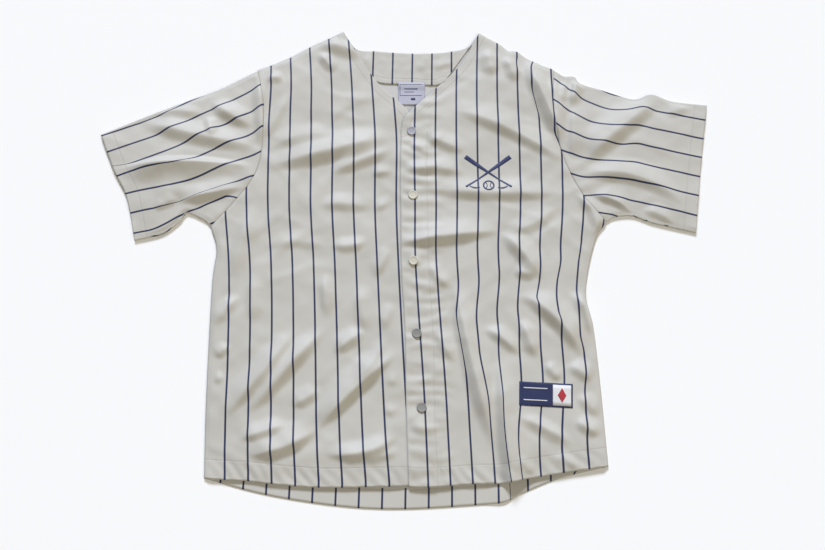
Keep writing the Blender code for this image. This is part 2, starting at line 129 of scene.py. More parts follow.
@dataclass(frozen=True)
class Fold:
    """A ridge of the upper cloth along a bowed path, in millimetres.

    The path bows to its left, and its left side is the one that the key light reaches. lit and shaded are
    the ridge's widths to the left and the right of the path,
    crest is 0 for a round top and 1 for a creased one, grows and dies are the stretches over which it rises
    and sinks, tuck is the cloth that it takes up, and spread is the width over which it does so.
    """

    name: str
    x_from: float
    y_from: float
    x_to: float
    y_to: float
    bow: float
    height: float
    lit: float
    shaded: float
    crest: float
    grows: float
    dies: float
    tuck: float = 0.0
    spread: float = 10.0

    def _frame(self, points: Array, taper: float) -> tuple[Array, Array, Array]:
        """Place each point against the fold's path.

        Args:
            points: x and y of each point, in millimetres.
            taper: the least share of the length over which the fold rises and sinks.

        Returns:
            the direction to the path's left, the distance off the path and the strength from 0 to 1.
        """
        start = np.array([self.x_from, self.y_from])
        path = np.array([self.x_to, self.y_to]) - start
        length = np.linalg.norm(path)
        ahead = path / length
        aside = np.array([-ahead[1], ahead[0]])
        reach = (points - start) @ ahead
        share = np.clip(reach / length, 0.0, 1.0)
        off = (points - start) @ aside - 4 * self.bow * share * (1 - share)
        grows = self.grows if self.grows <= 1 else max(self.grows, taper * length)
        dies = self.dies if self.dies <= 1 else max(self.dies, taper * length)
        strength = climb(reach, grows) * climb(length - reach, dies)
        return aside, off, strength

    def lift(self, points: Array) -> Array:
        """Return how far this fold lifts each point.

        Args:
            points: x and y of each point, in millimetres.

        Returns:
            a height for each point, in millimetres.
        """
        _, off, strength = self._frame(points, TAPER)
        foot = 0.6 + 0.4 * strength
        width = np.where(off > 0, LIT_FOOT * self.lit, SHADED_FOOT * self.shaded) * foot
        share = np.clip(np.abs(off) / width, 0.0, 1.0)
        round_top = 0.5 + 0.5 * np.cos(math.pi * share)
        creased = (1 - share) ** 2
        return FOLD_RISE * self.height * strength * ((1 - self.crest) * round_top + self.crest * creased)

    def take_up(self, points: Array, held: Way) -> Array:
        """Return the shift of the cloth's own coordinate that the tuck makes.

        Args:
            points: x and y of each point, in millimetres.
            held: the direction of the side that stays where it is.

        Returns:
            a shift in x and y for each point.
        """
        aside, off, strength = self._frame(points, 0.0)
        left = climb(off + self.spread / 2, self.spread)
        share = left - 1 if aside @ np.array(held) > 0 else left
        return (self.tuck * strength * share)[..., None] * aside


@dataclass(frozen=True)
class StripeRow:
    """Where the stripes lie at one spot along them: the first one, and their spacing."""

    along: float
    first: float
    spacing: float


def climb(distance: Array | float, run: float) -> Array | float:
    """Return 0 at an edge, 1 from run onwards, and a smooth slope between."""
    share = np.clip(distance / run, 0.0, 1.0)
    return share * share * (3 - 2 * share)


OUTLINES = {
    "right_side": (
        Spot("hem corner", -286, -314),
        Spot("hip", -291, -198),
        Spot("waist", -294, -25),
        Spot("below the arm", -291, 33),
        Spot("underarm", -302, 73),
    ),
    "right_armhole": (
        Spot("underarm", -302, 73),
        Spot("low curve", -268, 114),
        Spot("front curve", -237, 162),
        Spot("chest", -228, 222),
        Spot("top curve", -229, 287),
        Spot("shoulder point", -243, 349),
    ),
    "right_shoulder": (
        Spot("shoulder point", -243, 349),
        Spot("outer", -190, 374),
        Spot("inner", -159, 393),
        Spot("neck point", -102, 423),
    ),
    "right_neck": (
        Spot("inner end", 33, 215),
        Spot("crossing", 5, 275),
        Spot("front of neck", -42, 323),
        Spot("side of neck", -90, 400),
        Spot("neck point", -102, 423),
    ),
    "underlap_low": (
        Spot("hem", 46, -324),
        Spot("waist", 40, -95),
        Spot("chest", 33, 85),
    ),
    "underlap_high": (
        Spot("chest", 33, 85),
        Spot("inner end", 33, 215),
    ),
    "right_hem": (
        Spot("hem corner", -286, -314),
        Spot("first ripple", -256, -316),
        Spot("second ripple", -222, -318),
        Spot("side of hem", -187, -322),
        Spot("middle", -119, -327),
        Spot("inner", -40, -326),
        Spot("front edge", 46, -324),
    ),
    "left_side": (
        Spot("hem corner", 296, -297),
        Spot("hip", 292, -180),
        Spot("waist", 287, -90),
        Spot("pulled in by a fold", 279, -32),
        Spot("below the arm", 297, 46),
        Spot("underarm", 317, 80),
    ),
    "left_armhole": (
        Spot("underarm", 317, 80),
        Spot("low curve", 288, 117),
        Spot("front curve", 262, 170),
        Spot("chest", 247, 230),
        Spot("top curve", 243, 290),
        Spot("shoulder point", 248, 350),
    ),
    "left_shoulder": (
        Spot("neck point", 125, 420),
        Spot("inner", 158, 400),
        Spot("dent", 173, 387),
        Spot("ripple", 188, 385),
        Spot("outer", 206, 371),
        Spot("shoulder point", 248, 350),
    ),
    "left_neck": (
        Spot("top snap", -5, 238),
        Spot("foot of the V", 4, 266),
        Spot("front of neck", 56, 320),
        Spot("side of neck", 91, 357),
        Spot("behind the neck", 113, 396),
        Spot("neck point", 125, 420),
    ),
    "placket_low": (
        Spot("hem", 8, -326),
        Spot("low", 4, -210),
        Spot("waist", 2, -95),
        Spot("above the waist", -4, 5),
        Spot("chest", -5, 85),
    ),
    "placket_high": (
        Spot("chest", -5, 85),
        Spot("upper chest", -6, 150),
        Spot("top snap", -5, 238),
    ),
    "left_hem": (
        Spot("front edge", 8, -326),
        Spot("beside the placket", 36, -327),
        Spot("middle", 104, -322),
        Spot("at the standing fold", 150, -321),
        Spot("beyond it", 178, -315),
        Spot("side of hem", 234, -306),
        Spot("hem corner", 296, -297),
    ),
    "back_hem": (
        Spot("right corner", -286, -314),
        Spot("right curve", -196, -337),
        Spot("right of middle", -90, -353),
        Spot("middle", 0, -357),
        Spot("left of middle", 110, -351),
        Spot("at the fold", 146, -347),
        Spot("drawn up by it", 171, -335),
        Spot("left curve", 225, -314),
        Spot("left corner", 296, -297),
    ),
    "back_neck": (
        Spot("right neck point", -102, 423),
        Spot("right curve", -81, 391),
        Spot("right of middle", -45, 386),
        Spot("middle", 14, 382),
        Spot("left of middle", 66, 384),
        Spot("left curve", 106, 394),
        Spot("left neck point", 125, 420),
    ),
    "facing_free_edge": (
        Spot("under the right front", -52, 331),
        Spot("left corner", -30, 325),
        Spot("middle", 14, 324),
        Spot("right corner", 50, 322),
        Spot("under the left front", 66, 328),
    ),
    "right_sleeve_top": (
        Spot("shoulder point", -243, 349),
        Spot("upper arm", -306, 313),
        Spot("middle", -352, 294),
        Spot("elbow side", -399, 274),
        Spot("cuff", -491, 232),
    ),
    "right_cuff": (
        Spot("underside", -419, 49),
        Spot("low", -432, 101),
        Spot("below the big fold", -443, 133),
        Spot("at the big fold", -463, 168),
        Spot("top", -491, 232),
    ),
    "right_sleeve_under": (
        Spot("underarm", -302, 73),
        Spot("beside it", -315, 84),
        Spot("notch", -342, 95),
        Spot("below the notch", -353, 79),
        Spot("low", -378, 60),
        Spot("cuff", -419, 49),
    ),
    "left_sleeve_top": (
        Spot("shoulder point", 248, 350),
        Spot("step", 264, 339),
        Spot("top of the step", 281, 338),
        Spot("foot of the step", 291, 325),
        Spot("upper arm", 330, 311),
        Spot("dip", 376, 296),
        Spot("over the fold", 406, 305),
        Spot("beyond the fold", 440, 292),
        Spot("cuff", 495, 285),
    ),
    "left_cuff": (
        Spot("underside", 456, 62),
        Spot("low", 465, 120),
        Spot("middle", 482, 215),
        Spot("top", 495, 285),
    ),
    "left_sleeve_under": (
        Spot("underarm", 317, 80),
        Spot("beside it", 331, 88),
        Spot("notch", 360, 90),
        Spot("middle", 392, 78),
        Spot("cuff", 456, 62),
    ),
}

SEAMED = ("right_side", "left_side", "right_shoulder", "left_shoulder")
ROUNDED = ("right_sleeve_top", "left_sleeve_top", "right_sleeve_under", "left_sleeve_under")
OPEN = ("right_hem", "left_hem", "right_neck", "left_neck", "right_cuff", "left_cuff")
HELD_UP = ("right_armhole", "left_armhole", "right_neck", "left_neck")
ARMHOLES = ("right_armhole", "left_armhole")

RIGHT_FOLDS = (
    Fold("sleeve, across the arm", -464, 169, -232, 173, 8, 9.5, 8, 28, 0.6, 8, 120),
    Fold("sleeve, upper", -439, 259, -237, 208, -4, 5.5, 16, 15, 0.3, 50, 30),
    Fold("sleeve, short upper", -417, 278, -325, 269, -0, 3.0, 10, 12, 0.3, 25, 15),
    Fold("sleeve, off the cap", -319, 292, -240, 244, -4, 5.0, 14, 12, 0.3, 20, 16),
    Fold("sleeve, middle crease", -322, 264, -307, 224, 1, 3.0, 9, 8, 0.4, 10, 12),
    Fold("sleeve, up to the cap seam", -240, 344, -227, 201, 1, 4.6, 6, 13, 0.2, 8, 40),
    Fold("sleeve, under the arm", -360, 113, -248, 141, 0, 5.1, 16, 9, 0.5, 20, 20),
    Fold("sleeve, near the low edge", -394, 100, -354, 120, 1, 2.4, 9, 8, 0.3, 12, 12),
    Fold("sleeve, broad low", -397, 125, -332, 139, -0, 2.0, 20, 16, 0.0, 25, 25),
    Fold("chest, from the armhole", -227, 173, -6, 230, -1, 7.3, 20, 16, 0.3, 30, 14),
    Fold("chest, above it", -223, 204, -110, 234, 8, 2.6, 14, 12, 0.2, 30, 40),
    Fold("chest, to the second snap", -122, 161, -11, 206, 1, 4.0, 14, 11, 0.3, 30, 14),
    Fold("chest, beside the second snap", -54, 161, -10, 167, 0, 3.0, 9, 8, 0.4, 12, 10),
    Fold("ribs, faint", -136, 108, -48, 104, 3, 3.0, 12, 11, 0.3, 20, 16),
    Fold("ribs, at the placket", -48, 99, -8, 120, 1, 2.6, 9, 8, 0.3, 12, 8),
    Fold("waist, beside the third snap", -115, 41, -55, 47, -5, 3.4, 10, 10, 0.4, 14, 10),
    Fold("waist, down from it", -46, -15, -12, 41, 2, 3.6, 12, 9, 0.4, 18, 14),
    Fold("waist, faint high", -221, 38, -115, 39, 8, 1.6, 12, 10, 0.2, 30, 20),
    Fold("side, along the seam", -233, 118, -266, -17, -1, 4.0, 16, 14, 0.2, 20, 50),
    Fold("shoulder, by the neck", -146, 396, -69, 371, 9, 4.4, 9, 15, 0.2, 12, 12),
    Fold("shoulder, middle", -143, 382, -113, 343, 0, 3.6, 9, 10, 0.4, 10, 14),
    Fold("shoulder, small", -229, 330, -198, 330, 5, 3.0, 8, 10, 0.4, 8, 8),
    Fold("chest, high slant", -221, 224, -189, 306, 1, 2.0, 9, 10, 0.3, 20, 20),
    Fold("chest, inner slant", -131, 238, -37, 298, 17, 1.2, 12, 10, 0.2, 30, 30),
    Fold("belly, outer part", -231, -282, -121, -240, -10, 6.6, 18, 11, 0.4, 30, 20),
    Fold("belly, up to the placket", -131, -250, -5, -127, 4, 7.0, 22, 9, 0.4, 40, 16),
    Fold("belly, above it", -72, -176, -25, -102, -4, 2.6, 12, 9, 0.3, 30, 30),
    Fold("hip, outer", -268, -232, -158, -89, -3, 6.2, 15, 11, 0.3, 30, 50),
    Fold("hip, middle", -230, -225, -115, -89, 2, 6.5, 15, 12, 0.3, 30, 30),
    Fold("hip, inner", -105, -131, -57, -96, 1, 4.8, 12, 11, 0.4, 20, 14),
    Fold("hip, inner low", -166, -211, -121, -183, -2, 3.8, 11, 10, 0.4, 16, 14),
    Fold("hip, short", -241, -259, -167, -235, -1, 4.6, 11, 9, 0.4, 20, 16),
    Fold("above the hem, upper", -118, -278, 0, -248, -15, 5.8, 12, 10, 0.4, 30, 12),
    Fold("above the hem, lower", -62, -291, 2, -275, 1, 2.6, 8, 8, 0.3, 20, 10),
    Fold("beside the placket, low", -30, -220, 1, -208, -2, 3.2, 9, 9, 0.4, 12, 8),
    Fold("beside the placket, middle", -26, -176, 1, -169, 0, 3.0, 9, 8, 0.4, 12, 8),
    Fold("beside the placket, high", -31, -98, -5, -51, 5, 3.2, 10, 9, 0.3, 16, 12),
    Fold("side, upper", -287, -89, -249, -39, 2, 3.6, 11, 10, 0.3, 10, 16),
    Fold("side, middle", -282, -137, -259, -118, 0, 3.0, 9, 8, 0.3, 8, 12),
    Fold("side, low", -282, -172, -263, -169, 2, 2.4, 8, 8, 0.3, 8, 10),
    Fold("waist, upright", -121, -1, -116, -78, -1, 3.6, 12, 9, 0.3, 20, 20),
    Fold("waist, inner upright", -66, -21, -53, -101, -4, 3.6, 12, 12, 0.3, 20, 20),
    Fold("waist, outer upright", -233, -1, -228, -87, 1, 2.8, 12, 10, 0.3, 20, 20),
    Fold("sleeve, cloth in that fold", -486, 172, -318, 177, 3, 0.0, 9, 9, 0.0, 1, 140, 22),
    Fold("sleeve, cloth in the low pleat", -411, 91, -256, 148, 0, 0.0, 9, 9, 0.0, 75, 35, 18),
)
LEFT_FOLDS = (
    Fold("sleeve, down from the top edge", 276, 175, 419, 298, 1, 7.5, 22, 16, 0.3, 40, 6),
    Fold("sleeve, along the arm", 268, 157, 446, 107, 26, 5.4, 18, 14, 0.3, 30, 20),
    Fold("sleeve, beyond the ridge", 426, 264, 468, 281, 3, 2.0, 10, 10, 0.2, 14, 14),
    Fold("sleeve, under the arm", 293, 125, 360, 94, 7, 4.2, 14, 8, 0.5, 12, 10),
    Fold("sleeve, low edge", 373, 100, 423, 78, 4, 2.4, 10, 8, 0.3, 10, 12),
    Fold("sleeve, at the step", 287, 338, 271, 279, -0, 4.6, 9, 9, 0.5, 4, 12),
    Fold("sleeve, small at the cap", 265, 330, 257, 283, 0, 2.8, 7, 8, 0.4, 8, 10),
    Fold("sleeve, beside the cap seam", 277, 287, 269, 182, 0, 3.4, 16, 9, 0.2, 20, 20),
    Fold("shoulder, down to the armhole", 199, 374, 258, 207, 1, 8.7, 14, 15, 0.4, 14, 24),
    Fold("shoulder, beyond it", 239, 346, 260, 249, -0, 3.4, 10, 9, 0.4, 14, 20),
    Fold("chest, to the armhole", 78, 277, 261, 180, 9, 5.3, 20, 13, 0.35, 40, 16),
    Fold("chest, off the top snap", 7, 215, 47, 193, 0, 3.0, 9, 8, 0.4, 8, 14),
    Fold("chest, beyond it", 30, 232, 100, 199, -1, 4.2, 13, 11, 0.35, 18, 18),
    Fold("chest, below the mark", -6, 167, 100, 163, 5, 4.0, 13, 10, 0.35, 10, 16),
    Fold("below the chest", 20, 137, 257, 130, -6, 4.6, 16, 12, 0.3, 20, 20),
    Fold("ribs, slant", 156, 60, 246, 111, -9, 3.0, 14, 11, 0.3, 20, 24),
    Fold("waist, across the placket", -16, 41, 153, 65, 1, 6.4, 18, 11, 0.45, 8, 10),
    Fold("waist, turning down", 151, 64, 214, -17, 3, 7.0, 16, 13, 0.4, 12, 20),
    Fold("waist, small at the placket", 1, 10, 30, 9, 4, 2.4, 8, 8, 0.4, 8, 8),
    Fold("waist, second at the placket", 39, 10, 74, -30, -4, 3.0, 9, 9, 0.4, 10, 10),
    Fold("shoulder, by the neck", 137, 390, 145, 335, 1, 4.4, 9, 16, 0.2, 10, 16),
    Fold("shoulder, inner", 169, 377, 183, 325, 1, 4.4, 9, 12, 0.3, 14, 18),
    Fold("underarm, along the seam", 268, 131, 301, 48, 13, 4.0, 12, 10, 0.4, 14, 20),
    Fold("belly, long", 78, -14, 138, -282, -5, 8.4, 16, 15, 0.4, 30, 30),
    Fold("hem, standing", 142, -135, 159, -354, -2, 9.2, 20, 12, 0.5, 60, 1),
    Fold("hip, zigzag first", 120, -91, 176, -135, 4, 4.6, 11, 10, 0.45, 12, 10),
    Fold("hip, zigzag second", 176, -78, 198, -139, 1, 5.5, 10, 13, 0.4, 14, 12),
    Fold("hip, across", 177, -37, 270, -135, 10, 7.6, 20, 13, 0.4, 20, 16),
    Fold("side, short", 256, -34, 295, -109, 5, 6.6, 12, 15, 0.4, 18, 12),
    Fold("side, at the hip", 243, -148, 282, -173, 2, 4.0, 12, 10, 0.4, 14, 8),
    Fold("side, beside the patch", 254, -193, 287, -225, 2, 3.0, 10, 10, 0.3, 12, 10),
    Fold("side, low", 249, -231, 288, -252, -1, 3.8, 11, 10, 0.4, 16, 8),
    Fold("hip, inner", 210, -144, 236, -172, -2, 3.6, 8, 9, 0.3, 12, 12),
    Fold("below the patch", 160, -223, 247, -267, 3, 4.1, 8, 12, 0.5, 20, 24),
    Fold("hem corner, first", 162, -284, 190, -309, -1, 2.4, 8, 8, 0.4, 10, 10),
    Fold("hem corner, second", 218, -280, 252, -301, 0, 2.4, 8, 8, 0.4, 10, 10),
    Fold("high at the belly", 168, -3, 204, -10, 1, 4.2, 12, 10, 0.4, 12, 10),
    Fold("belly, slant", 47, -96, 78, -147, -0, 3.4, 10, 9, 0.4, 14, 14),
    Fold("placket, below the last snap", 8, -239, 56, -245, 0, 3.0, 9, 10, 0.4, 10, 14),
    Fold("shoulder, cloth in its fold", 253, 199, 185, 374, 4, 0.0, 9, 9, 0.0, 40, 30, 11),
    Fold("belly, cloth in the long fold", 112, -218, 62, -20, 0, 0.0, 9, 9, 0.0, 90, 75, 10, 12),
    Fold("hem, cloth in the standing fold", 180, -400, 126, -80, 9, 0.0, 9, 9, 0.0, 1, 220, 31, 46),
    Fold("hem, let out towards the side", 250, -400, 242, -180, 0, 0.0, 9, 9, 0.0, 1, 70, -7, 60),
    Fold("hip, cloth in the fold across", 184, -38, 276, -134, 11, 0.0, 9, 9, 0.0, 24, 30, 5),
)
BACK_FOLDS = (
    Fold("hem, under the standing fold", 146, -400, 142, -300, 0, 1.2, 16, 12, 0.2, 1, 20),
    Fold("hem, cloth in that fold", 152, -400, 150, -290, 0, 0.0, 12, 9, 0.0, 1, 20, 24, 20),
)
FACING_FOLDS = (
    Fold("facing, beside the label", 46, 352, 84, 368, 0, 1.4, 8, 7, 0.3, 10, 10),
    Fold("facing, right side", -58, 344, -60, 384, 0, 1.2, 7, 7, 0.3, 10, 10),
    Fold("facing, middle", 24, 346, 40, 380, 0, 0.9, 8, 8, 0.2, 10, 10),
)

RIGHT_STRIPES = (
    StripeRow(420, -29, 33.0),
    StripeRow(377, -25, 33.0),
    StripeRow(321, -20, 33.2),
    StripeRow(266, -15, 34.1),
    StripeRow(212, -12, 34.3),
    StripeRow(108, -12, 33.7),
    StripeRow(8, -8, 32.7),
    StripeRow(-111, -1.5, 32.7),
    StripeRow(-245, 7, 33.3),
    StripeRow(-320, 14, 33.7),
)
LEFT_STRIPES = (
    StripeRow(420, 24, 33.0),
    StripeRow(321, 19, 33.4),
    StripeRow(212, 16.5, 33.8),
    StripeRow(108, 17.5, 33.2),
    StripeRow(33, 17.5, 32.2),
    StripeRow(-40, 21, 32.0),
    StripeRow(-179, 30, 32.0),
    StripeRow(-245, 33, 32.0),
    StripeRow(-320, 36, 32.0),
)
BACK_STRIPES = (
    StripeRow(420, 14, 32.5),
    StripeRow(-357, 3.2, 33.3),
)
SLEEVE_WAYS = {Side.RIGHT: (-0.921, -0.390), Side.LEFT: (0.975, -0.222)}
SLEEVE_STRIPES = {
    Side.RIGHT: (
        StripeRow(-20, 21, 37.0),
        StripeRow(5, 28.4, 36.0),
        StripeRow(30, 33.6, 34.8),
        StripeRow(55, 37.1, 35.2),
        StripeRow(80, 39.7, 34.2),
        StripeRow(105, 40.9, 34.0),
        StripeRow(130, 43.0, 33.8),
        StripeRow(155, 46.0, 33.3),
        StripeRow(180, 48.0, 33.2),
        StripeRow(205, 48.6, 33.2),
        StripeRow(230, 47.5, 33.4),
        StripeRow(275, 46.0, 33.5),
    ),
    Side.LEFT: (
        StripeRow(-20, 8, 41.0),
        StripeRow(5, 18, 39.0),
        StripeRow(30, 31.9, 36.4),
        StripeRow(55, 43.0, 34.0),
        StripeRow(80, 49.6, 32.8),
        StripeRow(105, 53.0, 30.8),
        StripeRow(130, 48.5, 31.0),
        StripeRow(155, 37.6, 33.2),
        StripeRow(180, 38.6, 33.0),
        StripeRow(230, 38.0, 33.4),
        StripeRow(275, 36.5, 34.0),
    ),
}

SNAPS = (
    Spot("snap_1", 12, 237),
    Spot("snap_2", 14, 124),
    Spot("snap_3", 15, 14),
    Spot("snap_4", 20, -101),
    Spot("snap_5", 27, -213),
)
SNAP_RADIUS = 7.4
SNAP_PROFILE = (
    (0.0, 1.35),
    (3.2, 1.4),
    (5.2, 1.5),
    (5.7, 1.85),
    (6.3, 1.95),
    (6.9, 1.75),
    (7.3, 1.3),
    (7.4, 0.9),
    (7.3, 0.4),
    (6.8, 0.0),
)


@dataclass(frozen=True)
class ClothFinish:
    """The colours and sheen of one kind of cloth."""

    name: str
    ground: Color
    stripe: Color
    roughness: float
    sheen: float
    striped: bool
    weave: float


FACE_CLOTH = ClothFinish("jersey_face", (0.545, 0.53, 0.48), (0.02, 0.026, 0.075), 0.58, 0.15, True, 0.05)
INSIDE_CLOTH = ClothFinish("jersey_inside", (0.56, 0.555, 0.53), (0.4, 0.4, 0.45), 0.65, 0.2, False, 0.05)
LABEL_CLOTH = ClothFinish("label_cloth", (0.47, 0.47, 0.56), (0.1, 0.1, 0.14), 0.5, 0.2, False, 0.03)
PATCH_NAVY = ClothFinish("patch_navy", (0.016, 0.024, 0.085), (0.1, 0.1, 0.1), 0.6, 0.3, False, 0.1)
THREAD_NAVY = ClothFinish("thread_navy", (0.022, 0.032, 0.11), (0.1, 0.1, 0.1), 0.45, 0.4, False, 0.1)
THREAD_WHITE = ClothFinish("thread_white", (0.72, 0.72, 0.72), (0.1, 0.1, 0.1), 0.5, 0.3, False, 0.1)
THREAD_RED = ClothFinish("thread_red", (0.42, 0.03, 0.04), (0.1, 0.1, 0.1), 0.5, 0.3, False, 0.1)


@dataclass(frozen=True)
class SnapPaintedReflection:
    """The matt colour of one snap cap, with a painted reflection: its tint stands for the light that the cap
    reflects.
    """

    name: str
    color: Color
    roughness: float = 0.6


# Painted reflections: the lilac, cream and grey caps differ by the light that each cap reflects.
LILAC_REFLECTION_CAP = SnapPaintedReflection("snap_painted_lilac_reflection", (0.40, 0.40, 0.46))
CREAM_REFLECTION_CAP = SnapPaintedReflection("snap_painted_cream_reflection", (0.62, 0.60, 0.50))
GREY_REFLECTION_CAP = SnapPaintedReflection("snap_painted_grey_reflection", (0.25, 0.245, 0.225))
SNAP_PAINTED_REFLECTIONS = {
    "snap_1": LILAC_REFLECTION_CAP,
    "snap_2": CREAM_REFLECTION_CAP,
    "snap_3": CREAM_REFLECTION_CAP,
    "snap_4": GREY_REFLECTION_CAP,
    "snap_5": GREY_REFLECTION_CAP,
}


def smooth_line(spots: Sequence[Spot], per_span: int = 24) -> Array:
    """Return many points of an even curve through the spots.

    Args:
        spots: the spots that the curve runs through.
        per_span: how many points there are from one spot to the next.

    Returns:
        a row of x and y for each point of the curve.
    """
    points = np.array([(spot.x, spot.y) for spot in spots], float)
    ends = np.vstack([2 * points[0] - points[1], points, 2 * points[-1] - points[-2]])
    share = np.linspace(0.0, 1.0, per_span, endpoint=False)[:, None]
    spans = []
    for before, start, end, after in zip(ends, ends[1:], ends[2:], ends[3:]):
        slope = end - before
        bend = 2 * before - 5 * start + 4 * end - after
        twist = 3 * start - before - 3 * end + after
        spans.append(0.5 * (2 * start + slope * share + bend * share**2 + twist * share**3))
    return np.vstack([*spans, points[-1:]])


def sampled(name: str, stops: Array) -> Array:
    """Return the points of one outline at the given shares of its length.

    Args:
        name: the outline's name.
        stops: shares of its length, from 0 to 1.

    Returns:
        a row of x and y for each stop.
    """
    line = smooth_line(OUTLINES[name])
    run = np.concatenate([[0.0], np.cumsum(np.linalg.norm(np.diff(line, axis=0), axis=1))])
    wanted = np.asarray(stops) * run[-1]
    return np.column_stack([np.interp(wanted, run, line[:, axis]) for axis in (0, 1)])


def even(name: str, cells: int) -> Array:
    """Return the points that divide one outline into equal cells."""
    return sampled(name, np.linspace(0.0, 1.0, cells + 1))


def chained(*runs: tuple[str, int]) -> Array:
    """Return one edge made of several outlines, each divided into its own number of cells."""
    edges = [even(name, cells) for name, cells in runs]
    return np.vstack([edges[0], *[edge[1:] for edge in edges[1:]]])


def filled(low: Array, high: Array, start: Array, end: Array, across: Array) -> Array:
    """Return a sheet of points between four edges.

    Args:
        low: the points of the lowest row.
        high: those of the highest row.
        start: those of the first column.
        end: those of the last column.
        across: each column's share of the way across.

    Returns:
        a grid of x and y, a row for each point of start.
    """
    up = np.linspace(0.0, 1.0, len(start))[:, None, None]
    side = np.asarray(across)[None, :, None]
    rows = (1 - up) * low[None] + up * high[None]
    columns = (1 - side) * start[:, None] + side * end[:, None]
    foot = (1 - side) * low[0] + side * low[-1]
    head = (1 - side) * high[0] + side * high[-1]
    return rows + columns - (1 - up) * foot - up * head


def distance_to(points: Array, names: Sequence[str]) -> Array:
    """Return each point's distance to the nearest of the named outlines.

    Args:
        points: x and y of each point, in millimetres.
        names: the outlines' names.

    Returns:
        a distance for each point, in millimetres.
    """
    nearest = np.full(points.shape[:-1], np.inf)
    for name in names:
        line = smooth_line(OUTLINES[name], 5)
        for start, end in zip(line, line[1:]):
            along = end - start
            share = np.clip(((points - start) @ along) / (along @ along), 0.0, 1.0)
            gap = np.linalg.norm(points - start - share[..., None] * along, axis=-1)
            nearest = np.minimum(nearest, gap)
    return nearest


def lifted(points: Array, folds: Sequence[Fold]) -> Array:
    """Return how far all the folds lift each point."""
    return sum((fold.lift(points) for fold in folds), np.zeros(points.shape[:-1]))


def taken_up(points: Array, folds: Sequence[Fold], held: Way) -> Array:
    """Return the shift of the cloth's own coordinate that all the tucks make at each point."""
    return sum((fold.take_up(points, held) for fold in folds if fold.tuck), np.zeros(points.shape))


def uneven(points: Array, scale: float, seed: float) -> Array:
    """Return smooth noise.

    Args:
        points: x and y of each point, in millimetres.
        scale: about how wide a bump is, in millimetres.
        seed: a number that sets the pattern.

    Returns:
        a value from -1 to 1 for each point.
    """
    flat = points.reshape(-1, 2) / scale
    values = [noise.noise(Vector((x, y, seed))) for x, y in flat]
    return np.array(values).reshape(points.shape[:-1])


def creases(points: Array, scale: float, turn: float, stretch: float, seed: float) -> Array:
    """Return soft creases.

    Args:
        points: x and y of each point, in millimetres.
        scale: about how far apart the creases lie, in millimetres.
        turn: their direction, in degrees.
        stretch: how many times longer than wide they are.
        seed: a number that sets the pattern.

    Returns:
        a value from 0 to 1 for each point.
    """
    lean = math.radians(turn)
    along = points[..., 0] * math.cos(lean) + points[..., 1] * math.sin(lean)
    aside = points[..., 1] * math.cos(lean) - points[..., 0] * math.sin(lean)
    field = uneven(np.stack([along / stretch, aside], axis=-1), scale, seed)
    return 0.5 + 0.5 * np.cos(math.pi * np.clip(np.abs(field) * 2.2, 0.0, 1.0))


def rumpled(points: Array) -> Array:
    """Return the small unevenness of cloth that was smoothed by hand: broad swells and soft creases.

    Args:
        points: x and y of each point, in millimetres.

    Returns:
        a height for each point, in millimetres.
    """
    swells = 2.0 * uneven(points, 105.0, 3.0) + 0.7 * uneven(points, 42.0, 8.0)
    fine = 0.22 * uneven(points, 15.0, 12.0)
    lines = 1.0 * creases(points, 48.0, 38.0, 2.6, 21.0) + 0.8 * creases(points, 40.0, -25.0, 2.4, 33.0)
    return swells + fine + lines - 0.4


def ripples(points: Array, away: Array, reach: float, spacing: float, lean: float, seed: float) -> Array:
    """Return the ripples of cloth gathered by a stitch line.

    Args:
        points: x and y of each point, in millimetres.
        away: each point's distance from the edge, in millimetres.
        reach: how far from the edge the ripples run.
        spacing: the distance between two ripples along x.
        lean: how far a ripple leans along x for each millimetre from the edge.
        seed: a number that sets the pattern.

    Returns:
        a value for each point, within about 1.5 of 0.
    """
    phase = 2 * math.pi * (points[..., 0] + lean * away) / spacing + 5 * uneven(points, 55.0, seed)
    strength = climb(away, 3.0) * (1 - climb(away - reach * 0.6, reach * 0.6))
    return np.sin(phase) * strength * (0.55 + 0.9 * uneven(points, 70.0, seed + 4.0))


def upper_layer(points: Array, folds: Sequence[Fold], on_body: bool) -> Array:
    """Return the height of the top of the upper cloth, before the placket's step.

    Args:
        points: x and y of each point, in millimetres.
        folds: the folds that cross this cloth.
        on_body: whether the cloth is a front, which comes down to the back at its seams.

    Returns:
        a height for each point, in millimetres.
    """
    closed = distance_to(points, SEAMED + ROUNDED)
    puff = PUFF * climb(np.minimum(closed, distance_to(points, OPEN)), PUFF_RUN)
    held = 1.0
    if on_body:
        held = np.maximum(
            climb(distance_to(points, SEAMED), SEAM_RUN),
            1 - climb(distance_to(points, HELD_UP), SEAM_HOLD),
        )
    level = TOP_AT_SEAM + (TOP_LAID - TOP_AT_SEAM) * held
    dip = SEAM_DIP * (1 - climb(distance_to(points, ARMHOLES), SEAM_DIP_RUN))
    free = climb(closed, SEAM_RUN)
    hem = 0.0
    if on_body:
        away = distance_to(points, ("right_hem", "left_hem"))
        hem = HEM_RIPPLE * ripples(points, away, FRONT_HEM, 21.0, 0.8, 14.0)
    return level + puff + (lifted(points, folds) + rumpled(points) + hem) * free - dip


def placket_edge(heights: Array) -> Array:
    """Return x of the placket's front edge at each y."""
    line = np.vstack([smooth_line(OUTLINES["placket_low"]), smooth_line(OUTLINES["placket_high"])])
    return np.interp(heights, line[:, 1], line[:, 0])


def right_front_top(points: Array) -> Array:
    """Return the height of the right front's top, with the part under the placket left flat.

    Args:
        points: x and y of each point, in millimetres.

    Returns:
        a height for each point, in millimetres.
    """
    beside = points[..., 0] - placket_edge(points[..., 1])
    fade_from, fade_to = UNDERLAP_FADE
    shown = 1 - climb(beside - fade_from, fade_to - fade_from)
    flat = upper_layer(points, (), True)
    return flat + lifted(points, RIGHT_FOLDS) * climb(distance_to(points, SEAMED), SEAM_RUN) * shown


